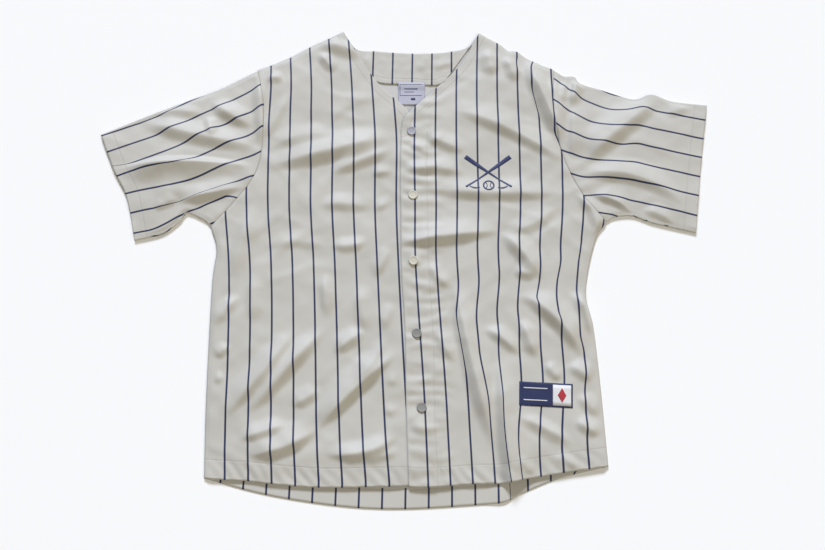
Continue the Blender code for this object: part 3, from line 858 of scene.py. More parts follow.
def left_front_top(points: Array) -> Array:
    """Return the height of the left front's top, with the step up onto the right front.

    Args:
        points: x and y of each point, in millimetres.

    Returns:
        a height for each point, in millimetres.
    """
    beside = points[..., 0] - placket_edge(points[..., 1])
    foot_of_v = OUTLINES["left_neck"][1].y + 14
    on_placket = 1 - climb(beside - PLACKET_WIDTH, PLACKET_FALL)
    step = on_placket * (1 - climb(points[..., 1] - foot_of_v, PLACKET_FALL))
    wave = np.sin(2 * math.pi * points[..., 1] / 22.0 + 6 * uneven(points, 60.0, 5.0))
    on_band = on_placket * climb(beside, 6.0)
    pucker = PLACKET_PUCKER * (wave + 1.6 * uneven(points * (0.4, 1.0), 10.0, 9.0)) * on_band
    ridge = 0.5 * (1 - climb(np.abs(beside - PLACKET_WIDTH), 4.0))
    return upper_layer(points, LEFT_FOLDS, True) + PLACKET_RISE * step + pucker - ridge


def stripe_shares(along: Array, across: Array, rows: Sequence[StripeRow]) -> Array:
    """Return how far across the cloth each spot lies.

    Args:
        along: each spot's place along the stripes.
        across: its place across them.
        rows: the table of stripe rows.

    Returns:
        the cloth's own coordinate across the stripes, in millimetres.
    """
    ordered = sorted(rows, key=lambda row: row.along)
    first = smooth_line([Spot("", row.along, row.first) for row in ordered])
    spacing = smooth_line([Spot("", row.along, row.spacing) for row in ordered])
    first_here = np.interp(along, first[:, 0], first[:, 1])
    return PITCH * (across - first_here) / np.interp(along, spacing[:, 0], spacing[:, 1])


def stripe_coordinate(points: Array, rows: Sequence[StripeRow], folds: Sequence[Fold], held: Way) -> Array:
    """Return the cloth's own coordinate of a front or the back.

    Args:
        points: x and y of each point, in millimetres.
        rows: the table of stripe rows.
        folds: the folds that take up cloth.
        held: the direction of the side that stays where it is.

    Returns:
        a grid of pairs, across and along the stripes, in metres.
    """
    across = stripe_shares(points[..., 1], points[..., 0], rows)
    shift = taken_up(points, folds, held)
    return np.dstack([across + shift[..., 0], points[..., 1] + shift[..., 1]]) * MM


def add_mesh(
    name: str,
    positions: Array,
    closed_round: bool = False,
    uv_layers: Sequence[tuple[str, Array]] = (),
) -> bpy.types.Object:
    """Make an object from a grid of positions.

    Args:
        name: the object's name.
        positions: rows and columns of x, y and z in millimetres from the chest point.
        closed_round: whether the last column joins the first.
        uv_layers: pairs of a UV map's name and its grid of coordinates.

    Returns:
        the new object, smooth-shaded.
    """
    rows, columns = positions.shape[:2]
    index = np.arange(rows * columns).reshape(rows, columns)
    if closed_round:
        corner_index = index.copy()
        corner_index[:, -1] = corner_index[:, 0]
    else:
        corner_index = index
    loops = np.stack([index[:-1, :-1], index[:-1, 1:], index[1:, 1:], index[1:, :-1]], axis=-1)
    faces = np.stack(
        [corner_index[:-1, :-1], corner_index[:-1, 1:], corner_index[1:, 1:], corner_index[1:, :-1]],
        axis=-1,
    )
    flat = positions.reshape(-1, 3) - (*BOX_MIDDLE, 0.0)
    mesh = bpy.data.meshes.new(name)
    mesh.from_pydata((flat * MM).tolist(), [], faces.reshape(-1, 4).tolist())
    for layer_name, values in uv_layers:
        layer = mesh.uv_layers.new(name=layer_name)
        layer.data.foreach_set("uv", values.reshape(-1, 2)[loops.reshape(-1)].ravel())
    mesh.polygons.foreach_set("use_smooth", [True] * len(mesh.polygons))
    if closed_round:
        drop_loose(mesh)
    obj = bpy.data.objects.new(name, mesh)
    bpy.context.scene.collection.objects.link(obj)
    return obj


def drop_loose(mesh: bpy.types.Mesh) -> None:
    """Remove the vertices that no face uses.

    Args:
        mesh: the mesh to change.
    """
    shape = bmesh.new()
    shape.from_mesh(mesh)
    loose = [vertex for vertex in shape.verts if not vertex.link_faces]
    bmesh.ops.delete(shape, geom=loose, context="VERTS")
    shape.to_mesh(mesh)
    shape.free()


def thicken(
    obj: bpy.types.Object, wall: float, double: Array | None = None, inside_offset: int = 1
) -> None:
    """Give a sheet its thickness on its lower side, doubled where double is true.

    Args:
        obj: the sheet.
        wall: one layer's thickness, in millimetres.
        double: whether each point is turned under.
        inside_offset: how many material slots on the inner side's finish is.
    """
    solidify = obj.modifiers.new("wall", "SOLIDIFY")
    solidify.offset = -1.0
    solidify.thickness = wall * MM
    solidify.material_offset = inside_offset
    if double is not None:
        solidify.thickness = 2 * wall * MM
        group = obj.vertex_groups.new(name="double")
        group.add(np.flatnonzero(double.ravel()).tolist(), 1.0, "REPLACE")
        solidify.vertex_group = group.name
        solidify.thickness_vertex_group = 0.5


class Materials:
    """Makes each finish once and hands it out."""

    def __init__(self) -> None:
        """Build the shared node groups."""
        self._made = {}
        self._stripe_group = self._build_stripe_group()
        self._weave_group = self._build_weave_group()

    def cloth(self, finish: ClothFinish) -> bpy.types.Material:
        """Return the material of a cloth finish.

        Args:
            finish: the cloth finish.

        Returns:
            its material, made once.
        """
        if finish.name not in self._made:
            self._made[finish.name] = self._build_cloth(finish)
        return self._made[finish.name]

    def snap(self, shade: SnapPaintedReflection) -> bpy.types.Material:
        """Return the matt material of a snap cap, whose colour holds a painted reflection.

        Args:
            shade: the cap's colour with its painted reflection.

        Returns:
            its material, made once.
        """
        if shade.name not in self._made:
            material = bpy.data.materials.new(shade.name)
            material.use_nodes = True
            shader = material.node_tree.nodes["Principled BSDF"]
            shader.inputs["Base Color"].default_value = (*shade.color, 1.0)
            shader.inputs["Roughness"].default_value = shade.roughness
            shader.inputs["Specular IOR Level"].default_value = 0.3
            self._made[shade.name] = material
        return self._made[shade.name]

    @staticmethod
    def _feed(tree: bpy.types.NodeTree, socket: Socket, value: float | Socket) -> None:
        """Set a socket to a number, or link another socket to it.

        Args:
            tree: the node tree.
            socket: the input to fill.
            value: the number or the output to fill it with.
        """
        if isinstance(value, (int, float)):
            socket.default_value = value
        else:
            tree.links.new(value, socket)

    @staticmethod
    def _math(tree: bpy.types.NodeTree, operation: str, *values: float | Socket) -> Socket:
        """Add a Math node.

        Args:
            tree: the node tree.
            operation: the operation's name.
            values: a number or a socket for each input.

        Returns:
            the node's output.
        """
        node = tree.nodes.new("ShaderNodeMath")
        node.operation = operation
        for socket, value in zip(node.inputs, values):
            Materials._feed(tree, socket, value)
        return node.outputs[0]

    @staticmethod
    def _soft_step(
        tree: bpy.types.NodeTree, value: Socket, edge_from: float | Socket, edge_to: float | Socket
    ) -> Socket:
        """Add a soft step.

        Args:
            tree: the node tree.
            value: the socket to step.
            edge_from: where the step begins.
            edge_to: where it ends.

        Returns:
            a socket of 0 below the step, 1 above it and smooth between.
        """
        node = tree.nodes.new("ShaderNodeMapRange")
        node.interpolation_type = "SMOOTHSTEP"
        tree.links.new(value, node.inputs["Value"])
        Materials._feed(tree, node.inputs["From Min"], edge_from)
        Materials._feed(tree, node.inputs["From Max"], edge_to)
        return node.outputs["Result"]

    @staticmethod
    def _coordinate(tree: bpy.types.NodeTree, layer: str) -> tuple[Socket, Socket]:
        """Return the two components of a UV map.

        Args:
            tree: the node tree.
            layer: the UV map's name.

        Returns:
            the map's two components.
        """
        uv = tree.nodes.new("ShaderNodeUVMap")
        uv.uv_map = layer
        split = tree.nodes.new("ShaderNodeSeparateXYZ")
        tree.links.new(uv.outputs["UV"], split.inputs[0])
        return split.outputs["X"], split.outputs["Y"]

    def _build_stripe_group(self) -> bpy.types.NodeTree:
        """Make the group that gives the masks of the stripe, the stitches and their groove.

        Returns:
            the group.
        """
        tree = bpy.data.node_groups.new("stripes_and_stitches", "ShaderNodeTree")
        for name in ("Pitch", "Width", "Stitch Length"):
            tree.interface.new_socket(name, in_out="INPUT", socket_type="NodeSocketFloat")
        tree.interface.new_socket("Stripe", in_out="OUTPUT", socket_type="NodeSocketFloat")
        tree.interface.new_socket("Stitch", in_out="OUTPUT", socket_type="NodeSocketFloat")
        tree.interface.new_socket("Groove", in_out="OUTPUT", socket_type="NodeSocketFloat")
        given = tree.nodes.new("NodeGroupInput").outputs
        out = tree.nodes.new("NodeGroupOutput")
        across, _ = self._coordinate(tree, "pattern")
        away = self._math(tree, "PINGPONG", across, self._math(tree, "MULTIPLY", given["Pitch"], 0.5))
        half = self._math(tree, "MULTIPLY", given["Width"], 0.5)
        inner = self._math(tree, "SUBTRACT", half, STRIPE_BLUR)
        outside = self._soft_step(tree, away, inner, self._math(tree, "ADD", half, STRIPE_BLUR))
        tree.links.new(self._math(tree, "SUBTRACT", 1.0, outside), out.inputs["Stripe"])
        off, run = self._coordinate(tree, "stitch")
        distance = self._math(tree, "ABSOLUTE", off)
        groove = self._math(tree, "SUBTRACT", 1.0, self._soft_step(tree, distance, 0.0, GROOVE_WIDTH))
        thread = self._math(tree, "SUBTRACT", 1.0, self._soft_step(tree, distance, 0.0002, 0.0005))
        dash = self._math(tree, "PINGPONG", run, self._math(tree, "MULTIPLY", given["Stitch Length"], 0.5))
        shown = self._soft_step(tree, dash, 0.0002, 0.0005)
        tree.links.new(self._math(tree, "MULTIPLY", thread, shown), out.inputs["Stitch"])
        tree.links.new(groove, out.inputs["Groove"])
        return tree

    def _build_weave_group(self) -> bpy.types.NodeTree:
        """Make the group that gives the knit's fine relief and its uneven tone.

        Returns:
            the group.
        """
        tree = bpy.data.node_groups.new("knit", "ShaderNodeTree")
        for name in ("Loop", "Cloud Scale"):
            tree.interface.new_socket(name, in_out="INPUT", socket_type="NodeSocketFloat")
        tree.interface.new_socket("Relief", in_out="OUTPUT", socket_type="NodeSocketFloat")
        tree.interface.new_socket("Tone", in_out="OUTPUT", socket_type="NodeSocketFloat")
        given = tree.nodes.new("NodeGroupInput").outputs
        out = tree.nodes.new("NodeGroupOutput")
        across, along = self._coordinate(tree, "pattern")
        turn = self._math(tree, "DIVIDE", 2 * math.pi, given["Loop"])
        wave_across = self._math(tree, "SINE", self._math(tree, "MULTIPLY", across, turn))
        wave_along = self._math(tree, "SINE", self._math(tree, "MULTIPLY", along, turn))
        tree.links.new(self._math(tree, "MULTIPLY", wave_across, wave_along), out.inputs["Relief"])
        place = tree.nodes.new("ShaderNodeTexCoord")
        cloud = tree.nodes.new("ShaderNodeTexNoise")
        self._feed(tree, cloud.inputs["Scale"], given["Cloud Scale"])
        cloud.inputs["Detail"].default_value = 3.0
        tree.links.new(place.outputs["Object"], cloud.inputs["Vector"])
        tree.links.new(cloud.outputs["Fac"], out.inputs["Tone"])
        return tree

    def _build_cloth(self, finish: ClothFinish) -> bpy.types.Material:
        """Build the material of one cloth finish.

        Args:
            finish: the cloth finish.

        Returns:
            its material.
        """
        material = bpy.data.materials.new(finish.name)
        material.use_nodes = True
        tree = material.node_tree
        shader = tree.nodes["Principled BSDF"]
        shader.inputs["Roughness"].default_value = finish.roughness
        shader.inputs["Sheen Weight"].default_value = finish.sheen
        shader.inputs["Sheen Roughness"].default_value = 0.4
        shader.inputs["Specular IOR Level"].default_value = 0.35
        knit = tree.nodes.new("ShaderNodeGroup")
        knit.node_tree = self._weave_group
        knit.inputs["Loop"].default_value = KNIT_LOOP
        knit.inputs["Cloud Scale"].default_value = CLOUD_SCALE
        tone = self._soft_step(tree, knit.outputs["Tone"], 0.3, 0.7)
        shade = tree.nodes.new("ShaderNodeMix")
        shade.data_type = "RGBA"
        tree.links.new(tone, shade.inputs["Factor"])
        shade.inputs["A"].default_value = (*(0.96 * c for c in finish.ground), 1.0)
        shade.inputs["B"].default_value = (*finish.ground, 1.0)
        color = shade.outputs["Result"]
        height = self._math(tree, "MULTIPLY", knit.outputs["Relief"], finish.weave)
        if finish.striped:
            marks = tree.nodes.new("ShaderNodeGroup")
            marks.node_tree = self._stripe_group
            marks.inputs["Pitch"].default_value = PITCH * MM
            marks.inputs["Width"].default_value = STRIPE_WIDTH * MM
            marks.inputs["Stitch Length"].default_value = STITCH_LENGTH * MM
            stripe = tree.nodes.new("ShaderNodeMix")
            stripe.data_type = "RGBA"
            tree.links.new(marks.outputs["Stripe"], stripe.inputs["Factor"])
            tree.links.new(color, stripe.inputs["A"])
            stripe.inputs["B"].default_value = (*finish.stripe, 1.0)
            # Painted shade: the colour darkens towards brown across each stitch groove.
            thread = tree.nodes.new("ShaderNodeMix")
            thread.data_type = "RGBA"
            groove_painted_shade = self._math(tree, "MULTIPLY", marks.outputs["Groove"], 0.08)
            tree.links.new(groove_painted_shade, thread.inputs["Factor"])
            tree.links.new(stripe.outputs["Result"], thread.inputs["A"])
            thread.inputs["B"].default_value = (0.22, 0.2, 0.15, 1.0)
            color = thread.outputs["Result"]
            sunk = self._math(tree, "MULTIPLY", marks.outputs["Groove"], -0.45)
            raised = self._math(tree, "MULTIPLY", marks.outputs["Stitch"], 0.35)
            height = self._math(tree, "ADD", height, self._math(tree, "ADD", sunk, raised))
        tree.links.new(color, shader.inputs["Base Color"])
        bump = tree.nodes.new("ShaderNodeBump")
        bump.inputs["Strength"].default_value = 0.6
        bump.inputs["Distance"].default_value = MM
        tree.links.new(height, bump.inputs["Height"])
        tree.links.new(bump.outputs["Normal"], shader.inputs["Normal"])
        return material


def give_faces(obj: bpy.types.Object, materials: Materials, *finishes: ClothFinish) -> None:
    """Give an object its cloth finishes in slot order."""
    for finish in finishes:
        obj.data.materials.append(materials.cloth(finish))


def settle(obj: bpy.types.Object, node: str) -> None:
    """Put a piece on the frame in place of its CAD node.

    Args:
        obj: the piece.
        node: the CAD node that it replaces.
    """
    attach(obj, "root")
    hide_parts(node)


def nearest_stitch(points: Array, *lines: tuple[Array, float]) -> Array:
    """Return the stitch coordinate.

    Args:
        points: x and y of each point, in millimetres.
        lines: pairs of a distance field and the distance at which the stitches run.

    Returns:
        a grid of pairs, the signed distance to the nearest stitch line and the run along it, in metres.
    """
    offsets = np.stack([field - away for field, away in lines])
    pick = np.abs(offsets).argmin(axis=0)[None]
    off = np.take_along_axis(offsets, pick, axis=0)[0]
    run = points[..., 0] * 0.6 + points[..., 1] * 0.8
    return np.dstack([off, run]) * MM


@dataclass
class Front:
    """One front of the shirt."""

    side: Side
    columns: int = 118
    side_rows: int = 150
    armhole_rows: int = 112

    def plan(self) -> Array:
        """Lay out the sheet's points.

        Returns:
            a grid of x and y, hem to shoulder, front edge to side seam.
        """
        arm = self.armhole_rows
        across = np.linspace(0.0, 1.0, self.columns + 1)
        if self.side is Side.RIGHT:
            high_rows = round(0.39 * arm)
            return filled(
                sampled("right_hem", across),
                sampled("right_shoulder", across),
                chained(("right_side", self.side_rows), ("right_armhole", arm)),
                chained(
                    ("underlap_low", self.side_rows),
                    ("underlap_high", high_rows),
                    ("right_neck", arm - high_rows),
                ),
                across,
            )
        high_rows = round(0.44 * arm)
        return filled(
            sampled("left_hem", across),
            sampled("left_shoulder", across),
            chained(
                ("placket_low", self.side_rows),
                ("placket_high", high_rows),
                ("left_neck", arm - high_rows),
            ),
            chained(("left_side", self.side_rows), ("left_armhole", arm)),
            across,
        )

    def build(self, materials: Materials) -> None:
        """Build the front and put it on the frame.

        Args:
            materials: the finishes.
        """
        plan = self.plan()
        right = self.side is Side.RIGHT
        name = f"front_{self.side.value}"
        top = right_front_top(plan) if right else left_front_top(plan)
        rows = RIGHT_STRIPES if right else LEFT_STRIPES
        folds = RIGHT_FOLDS if right else LEFT_FOLDS
        pattern = stripe_coordinate(plan, rows, folds, (1, 0) if right else (-1, 0))
        from_neck = distance_to(plan, (f"{self.side.value}_neck",))
        from_hem = distance_to(plan, (f"{self.side.value}_hem",))
        lines = [(from_neck, NECK_TURN), (from_hem, FRONT_HEM)]
        double = (from_neck < NECK_TURN) | (from_hem < FRONT_HEM)
        if not right:
            beside = plan[..., 0] - placket_edge(plan[..., 1])
            above = plan[..., 1] > OUTLINES["placket_high"][-1].y
            beside = np.where(above, 400.0, beside)
            lines += [(beside, PLACKET_WIDTH - 2.0)]
            double |= beside < PLACKET_WIDTH
        stitch = nearest_stitch(plan, *lines)
        layers = (("pattern", pattern), ("stitch", stitch))
        obj = add_mesh(f"{name}_cloth", np.dstack([plan, top]), uv_layers=layers)
        give_faces(obj, materials, FACE_CLOTH, INSIDE_CLOTH)
        thicken(obj, WALL, double)
        settle(obj, name)


def relaxed(plan: Array, rounds: int = 60) -> Array:
    """Even out the points inside a sheet's edges.

    Args:
        plan: the sheet's grid of x and y.
        rounds: how often each point moves to the middle of its neighbours.

    Returns:
        the new grid, with its edges unchanged.
    """
    plan = plan.copy()
    for _ in range(rounds):
        plan[1:-1, 1:-1] = (plan[:-2, 1:-1] + plan[2:, 1:-1] + plan[1:-1, :-2] + plan[1:-1, 2:]) / 4
    return plan


def outward(edge: Array, inner: Array, reach: int = 5) -> Array:
    """Return the direction out of the cloth along an edge.

    Args:
        edge: the edge's spots.
        inner: the row of spots next to it.
        reach: how many spots either way are averaged.

    Returns:
        a direction of length 1 for each spot.
    """
    out = (edge - inner) / np.linalg.norm(edge - inner, axis=1, keepdims=True)
    padded = np.pad(out, ((reach, reach), (0, 0)), mode="edge")
    soft = sum(padded[start : start + len(out)] for start in range(2 * reach + 1))
    return soft / np.linalg.norm(soft, axis=1, keepdims=True)


@dataclass
class Sleeve:
    """One set-in sleeve, a flattened tube."""

    side: Side
    stations: int = 92
    upper_cells: int = 104
    lower_cells: int = 36
    round_steps: int = 6

    def build(self, materials: Materials) -> None:
        """Build the sleeve and put it on the frame.

        Args:
            materials: the finishes.
        """
        side = self.side.value
        folds = RIGHT_FOLDS if self.side is Side.RIGHT else LEFT_FOLDS
        across = np.linspace(0.0, 1.0, self.upper_cells + 1)
        plan = filled(
            even(f"{side}_armhole", self.upper_cells),
            even(f"{side}_cuff", self.upper_cells),
            even(f"{side}_sleeve_under", self.stations),
            even(f"{side}_sleeve_top", self.stations),
            across,
        )
        plan = relaxed(plan)
        heights = upper_layer(plan, folds, False)
        lower_pick = np.round(np.linspace(self.upper_cells, 0, self.lower_cells + 1)).astype(int)
        way = np.array(SLEEVE_WAYS[self.side])
        down = np.array([-way[1], way[0]]) * (1 if way[0] < 0 else -1)
        beyond_shoulder = plan - [OUTLINES[f"{side}_armhole"][-1].x, OUTLINES[f"{side}_armhole"][-1].y]
        along = beyond_shoulder @ way
        across_cloth = stripe_shares(along, beyond_shoulder @ down, SLEEVE_STRIPES[self.side])
        across_cloth = across_cloth + taken_up(plan, folds, (0, 1)) @ down
        from_cuff = distance_to(plan, (f"{side}_cuff",))
        stitch_off = nearest_stitch(plan, (from_cuff, CUFF_HEM))
        rings, patterns, stitches = [], [], []
        under_outs = outward(plan[:, 0], plan[:, 1])
        top_outs = outward(plan[:, -1], plan[:, -2])
        for station in range(self.stations + 1):
            points, tops = plan[station], heights[station]
            under_out, top_out = under_outs[station], top_outs[station]
            inset = points.copy()
            for end, out in ((0, under_out), (-1, top_out)):
                away = np.linalg.norm(points - points[end], axis=1)
                inset -= out * (tops[end] / 2 * (1 - climb(away, EDGE_DRAW)))[:, None]
            upper = np.column_stack([inset, tops])
            lower = np.column_stack([inset, np.zeros(len(inset))])[lower_pick]
            ring = np.vstack(
                [
                    upper,
                    self._round(inset[-1], top_out, tops[-1], True),
                    lower,
                    self._round(inset[0], under_out, tops[0], False),
                    upper[:1],
                ]
            )
            rings.append(ring)
            cloth = across_cloth[station]
            turn = np.linspace(0.0, math.pi * tops[-1] / 2, self.round_steps + 1)[1:-1]
            beyond = cloth[-1] - turn
            lower_cloth = 2 * cloth[-1] - cloth[lower_pick] - math.pi * tops[-1] / 2
            past = lower_cloth[-1] - turn
            coordinate = np.concatenate([cloth, beyond, lower_cloth, past, past[-1:] - 1])
            patterns.append(np.column_stack([coordinate, np.full(len(coordinate), along[station].mean())]))
            off = stitch_off[station]
            fill = self.round_steps - 1
            stitches.append(
                np.vstack(
                    [off, np.repeat(off[-1:], fill, 0), off[lower_pick], np.repeat(off[:1], fill + 1, 0)]
                )
            )
        positions = np.array(rings)
        pattern = np.array(patterns) * MM
        stitch = np.array(stitches)
        if self.side is Side.LEFT:
            positions, pattern, stitch = positions[:, ::-1], pattern[:, ::-1], stitch[:, ::-1]
        layers = (("pattern", pattern), ("stitch", stitch))
        name = f"sleeve_{side}"
        obj = add_mesh(f"{name}_cloth", positions, closed_round=True, uv_layers=layers)
        give_faces(obj, materials, FACE_CLOTH, INSIDE_CLOTH)
        thicken(obj, WALL)
        settle(obj, name)
        log.info("%s reaches %.1f mm", name, heights.max())

    def _round(self, corner: Array, outwards: Array, height: float, downwards: bool) -> Array:
        """Return the points that join the upper cloth to the lower at a folded edge.

        Args:
            corner: the edge's spot.
            outwards: the direction out of the cloth.
            height: the tube's height there.
            downwards: whether the points run from the upper cloth to the lower.

        Returns:
            a row of x, y and z for each point.
        """
        points = []
        for step in range(1, self.round_steps):
            turn = math.pi * step / self.round_steps
            rise = math.cos(turn) if downwards else -math.cos(turn)
            x, y = corner + outwards * (height / 2) * math.sin(turn)
            points.append((x, y, height / 2 * (1 + rise)))
        return np.array(points)


@dataclass
class Back:
    """The back, flat on the surface with its longer hem turned up."""

    columns: int = 170
    side_rows: int = 118
    armhole_rows: int = 84

    def build(self, materials: Materials) -> None:
        """Build the back and put it on the frame.

        Args:
            materials: the finishes.
        """
        across = np.linspace(0.0, 1.0, self.columns + 1)
        shoulder_share = 0.36
        head_stops = np.clip(across / shoulder_share, 0, 1)
        neck_stops = np.clip((across - shoulder_share) / (1 - 2 * shoulder_share), 0, 1)
        last_stops = np.clip((across - 1 + shoulder_share) / shoulder_share, 0, 1)
        head = np.where(
            (across <= shoulder_share)[:, None],
            sampled("right_shoulder", head_stops),
            np.where(
                (across < 1 - shoulder_share)[:, None],
                sampled("back_neck", neck_stops),
                sampled("left_shoulder", last_stops),
            ),
        )
        plan = filled(
            sampled("back_hem", across),
            head,
            chained(("right_side", self.side_rows), ("right_armhole", self.armhole_rows)),
            chained(("left_side", self.side_rows), ("left_armhole", self.armhole_rows)),
            across,
        )
        from_hem = distance_to(plan, ("back_hem",))
        turned = from_hem < BACK_HEM
        top = BACK_TOP + lifted(plan, BACK_FOLDS)
        pattern = stripe_coordinate(plan, BACK_STRIPES, BACK_FOLDS, (-1, 0))
        stitch = nearest_stitch(plan, (from_hem, BACK_HEM))
        layers = (("pattern", pattern), ("stitch", stitch))
        obj = add_mesh("back_panel_cloth", np.dstack([plan, top]), uv_layers=layers)
        give_faces(obj, materials, INSIDE_CLOTH, FACE_CLOTH, FACE_CLOTH)
        on_hem = turned[:-1, :-1].ravel()
        obj.data.polygons.foreach_set("material_index", on_hem.astype(np.int32))
        thicken(obj, WALL)
        settle(obj, "back_panel")


def rectangle(size: Way, middle: Way, turn: float, rows: int, columns: int) -> Array:
    """Return the points of a turned rectangle, from its lower corner up.

    Args:
        size: its width and height.
        middle: its centre.
        turn: its turn, in radians.
        rows: cells up it.
        columns: cells across it.

    Returns:
        a grid of x and y.
    """
    side, up = np.meshgrid(
        np.linspace(-size[0] / 2, size[0] / 2, columns + 1),
        np.linspace(-size[1] / 2, size[1] / 2, rows + 1),
    )
    x = middle[0] + side * math.cos(turn) - up * math.sin(turn)
    y = middle[1] + side * math.sin(turn) + up * math.cos(turn)
    return np.dstack([x, y])


@dataclass
class Facing:
    """The striped facing inside the back neck."""

    columns: int = 74
    rows: int = 26

    def build(self, materials: Materials) -> None:
        """Build the facing and put it on the frame.

        Args:
            materials: the finishes.
        """
        across = np.linspace(0.0, 1.0, self.columns + 1)
        neck = sampled("back_neck", 0.03 + 0.94 * across)
        free = sampled("facing_free_edge", across)
        rise = np.linspace(0.0, 1.0, self.rows + 1)[:, None]
        plan = filled(
            free,
            neck,
            free[0] * (1 - rise) + neck[0] * rise,
            free[-1] * (1 - rise) + neck[-1] * rise,
            across,
        )
        free_away = distance_to(plan, ("facing_free_edge",))
        top = BACK_TOP + 1.5 + lifted(plan, FACING_FOLDS) + 0.6 * uneven(plan, 13.0, 2.0)
        stitch = nearest_stitch(plan, (free_away, 10.0))
        pattern = stripe_coordinate(plan, BACK_STRIPES, (), (-1, 0))
        layers = (("pattern", pattern), ("stitch", stitch))
        obj = add_mesh("back_neck_facing_cloth", np.dstack([plan, top]), uv_layers=layers)
        give_faces(obj, materials, FACE_CLOTH, INSIDE_CLOTH)
        thicken(obj, WALL)
        settle(obj, "back_neck_facing")


@dataclass
class Ribbon:
    """A line of satin stitches: a slightly domed strip on a cloth's surface."""

    name: str
    path: tuple[Way, ...]
    widths: tuple[float, ...]
    finish: ClothFinish
    surface: Callable[[Array], Array]
    lift: float = 0.5

    def build(self, materials: Materials, on_label: bool = False) -> None:
        """Build the ribbon and put it on the frame.

        Args:
            materials: the finishes.
            on_label: whether the ribbon lies on the neck label; not used.
        """
        cells = 5
        spots = [Spot("", x, y) for x, y in self.path]
        line = smooth_line(spots, 10)
        share = np.linspace(0.0, 1.0, len(line))
        width = np.interp(share, np.linspace(0.0, 1.0, len(self.widths)), self.widths)
        along = np.gradient(line, axis=0)
        along /= np.linalg.norm(along, axis=1, keepdims=True)
        aside = np.column_stack([-along[:, 1], along[:, 0]])
        across = np.linspace(-0.5, 0.5, cells + 1)
        plan = line[:, None] + aside[:, None] * (width[:, None] * across)[..., None]
        dome = self.lift * (0.6 + 0.4 * np.cos(math.pi * across))
        top = self.surface(plan) + dome
        flip = np.dstack([plan, top])[:, ::-1]
        obj = add_mesh(self.name, flip, uv_layers=(("pattern", plan[:, ::-1] * MM),))
        give_faces(obj, materials, self.finish)
        thicken(obj, 0.4, inside_offset=0)
        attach(obj, "root")


@dataclass
class Emblem:
    """A generic chest mark in navy thread: two crossed bats and a ball."""

    middle: Way = (134.0, 168.0)

    def build(self, materials: Materials) -> None:
        """Build the mark on the left front.

        Args:
            materials: the finishes.
        """
        x, y = self.middle
        for name, lean in (("bat_one", 1), ("bat_two", -1)):
            path = [(x - lean * reach * 36, y - 4 + reach * 27) for reach in (-1.0, -0.5, 0.0, 0.5, 1.0)]
            widths = (3.6, 2.6, 3.4, 6.4, 7.4)
            Ribbon(f"emblem_{name}", tuple(path), widths, THREAD_NAVY, left_front_top).build(materials)
        ball = self._circle(x, y - 28, 8.2)
        Ribbon("emblem_ball", ball, (2.6, 2.6), THREAD_NAVY, left_front_top).build(materials)
        for name, lean in (("seam_one", 1), ("seam_two", -1)):
            bends = (-1, -0.5, 0, 0.5, 1)
            arc = [(x + lean * (2.4 + 2.2 * bend * bend), y - 28 + 5.4 * bend) for bend in bends]
            Ribbon(f"emblem_{name}", tuple(arc), (1.3, 1.3), THREAD_NAVY, left_front_top).build(materials)
        base = [(x - 30, y - 30), (x - 22, y - 33), (x - 14, y - 32)]
        Ribbon("emblem_dash_one", tuple(base), (1.5, 3.2, 1.5), THREAD_NAVY, left_front_top).build(materials)
        base = [(x + 14, y - 32), (x + 22, y - 33), (x + 30, y - 30)]
        Ribbon("emblem_dash_two", tuple(base), (1.5, 3.2, 1.5), THREAD_NAVY, left_front_top).build(materials)

    @staticmethod
    def _circle(x: float, y: float, radius: float) -> tuple[Way, ...]:
        """Return the spots of a closed circle."""
        turns = np.linspace(0.0, 2 * math.pi, 13)
        return tuple((x + radius * math.cos(turn), y + radius * math.sin(turn)) for turn in turns)


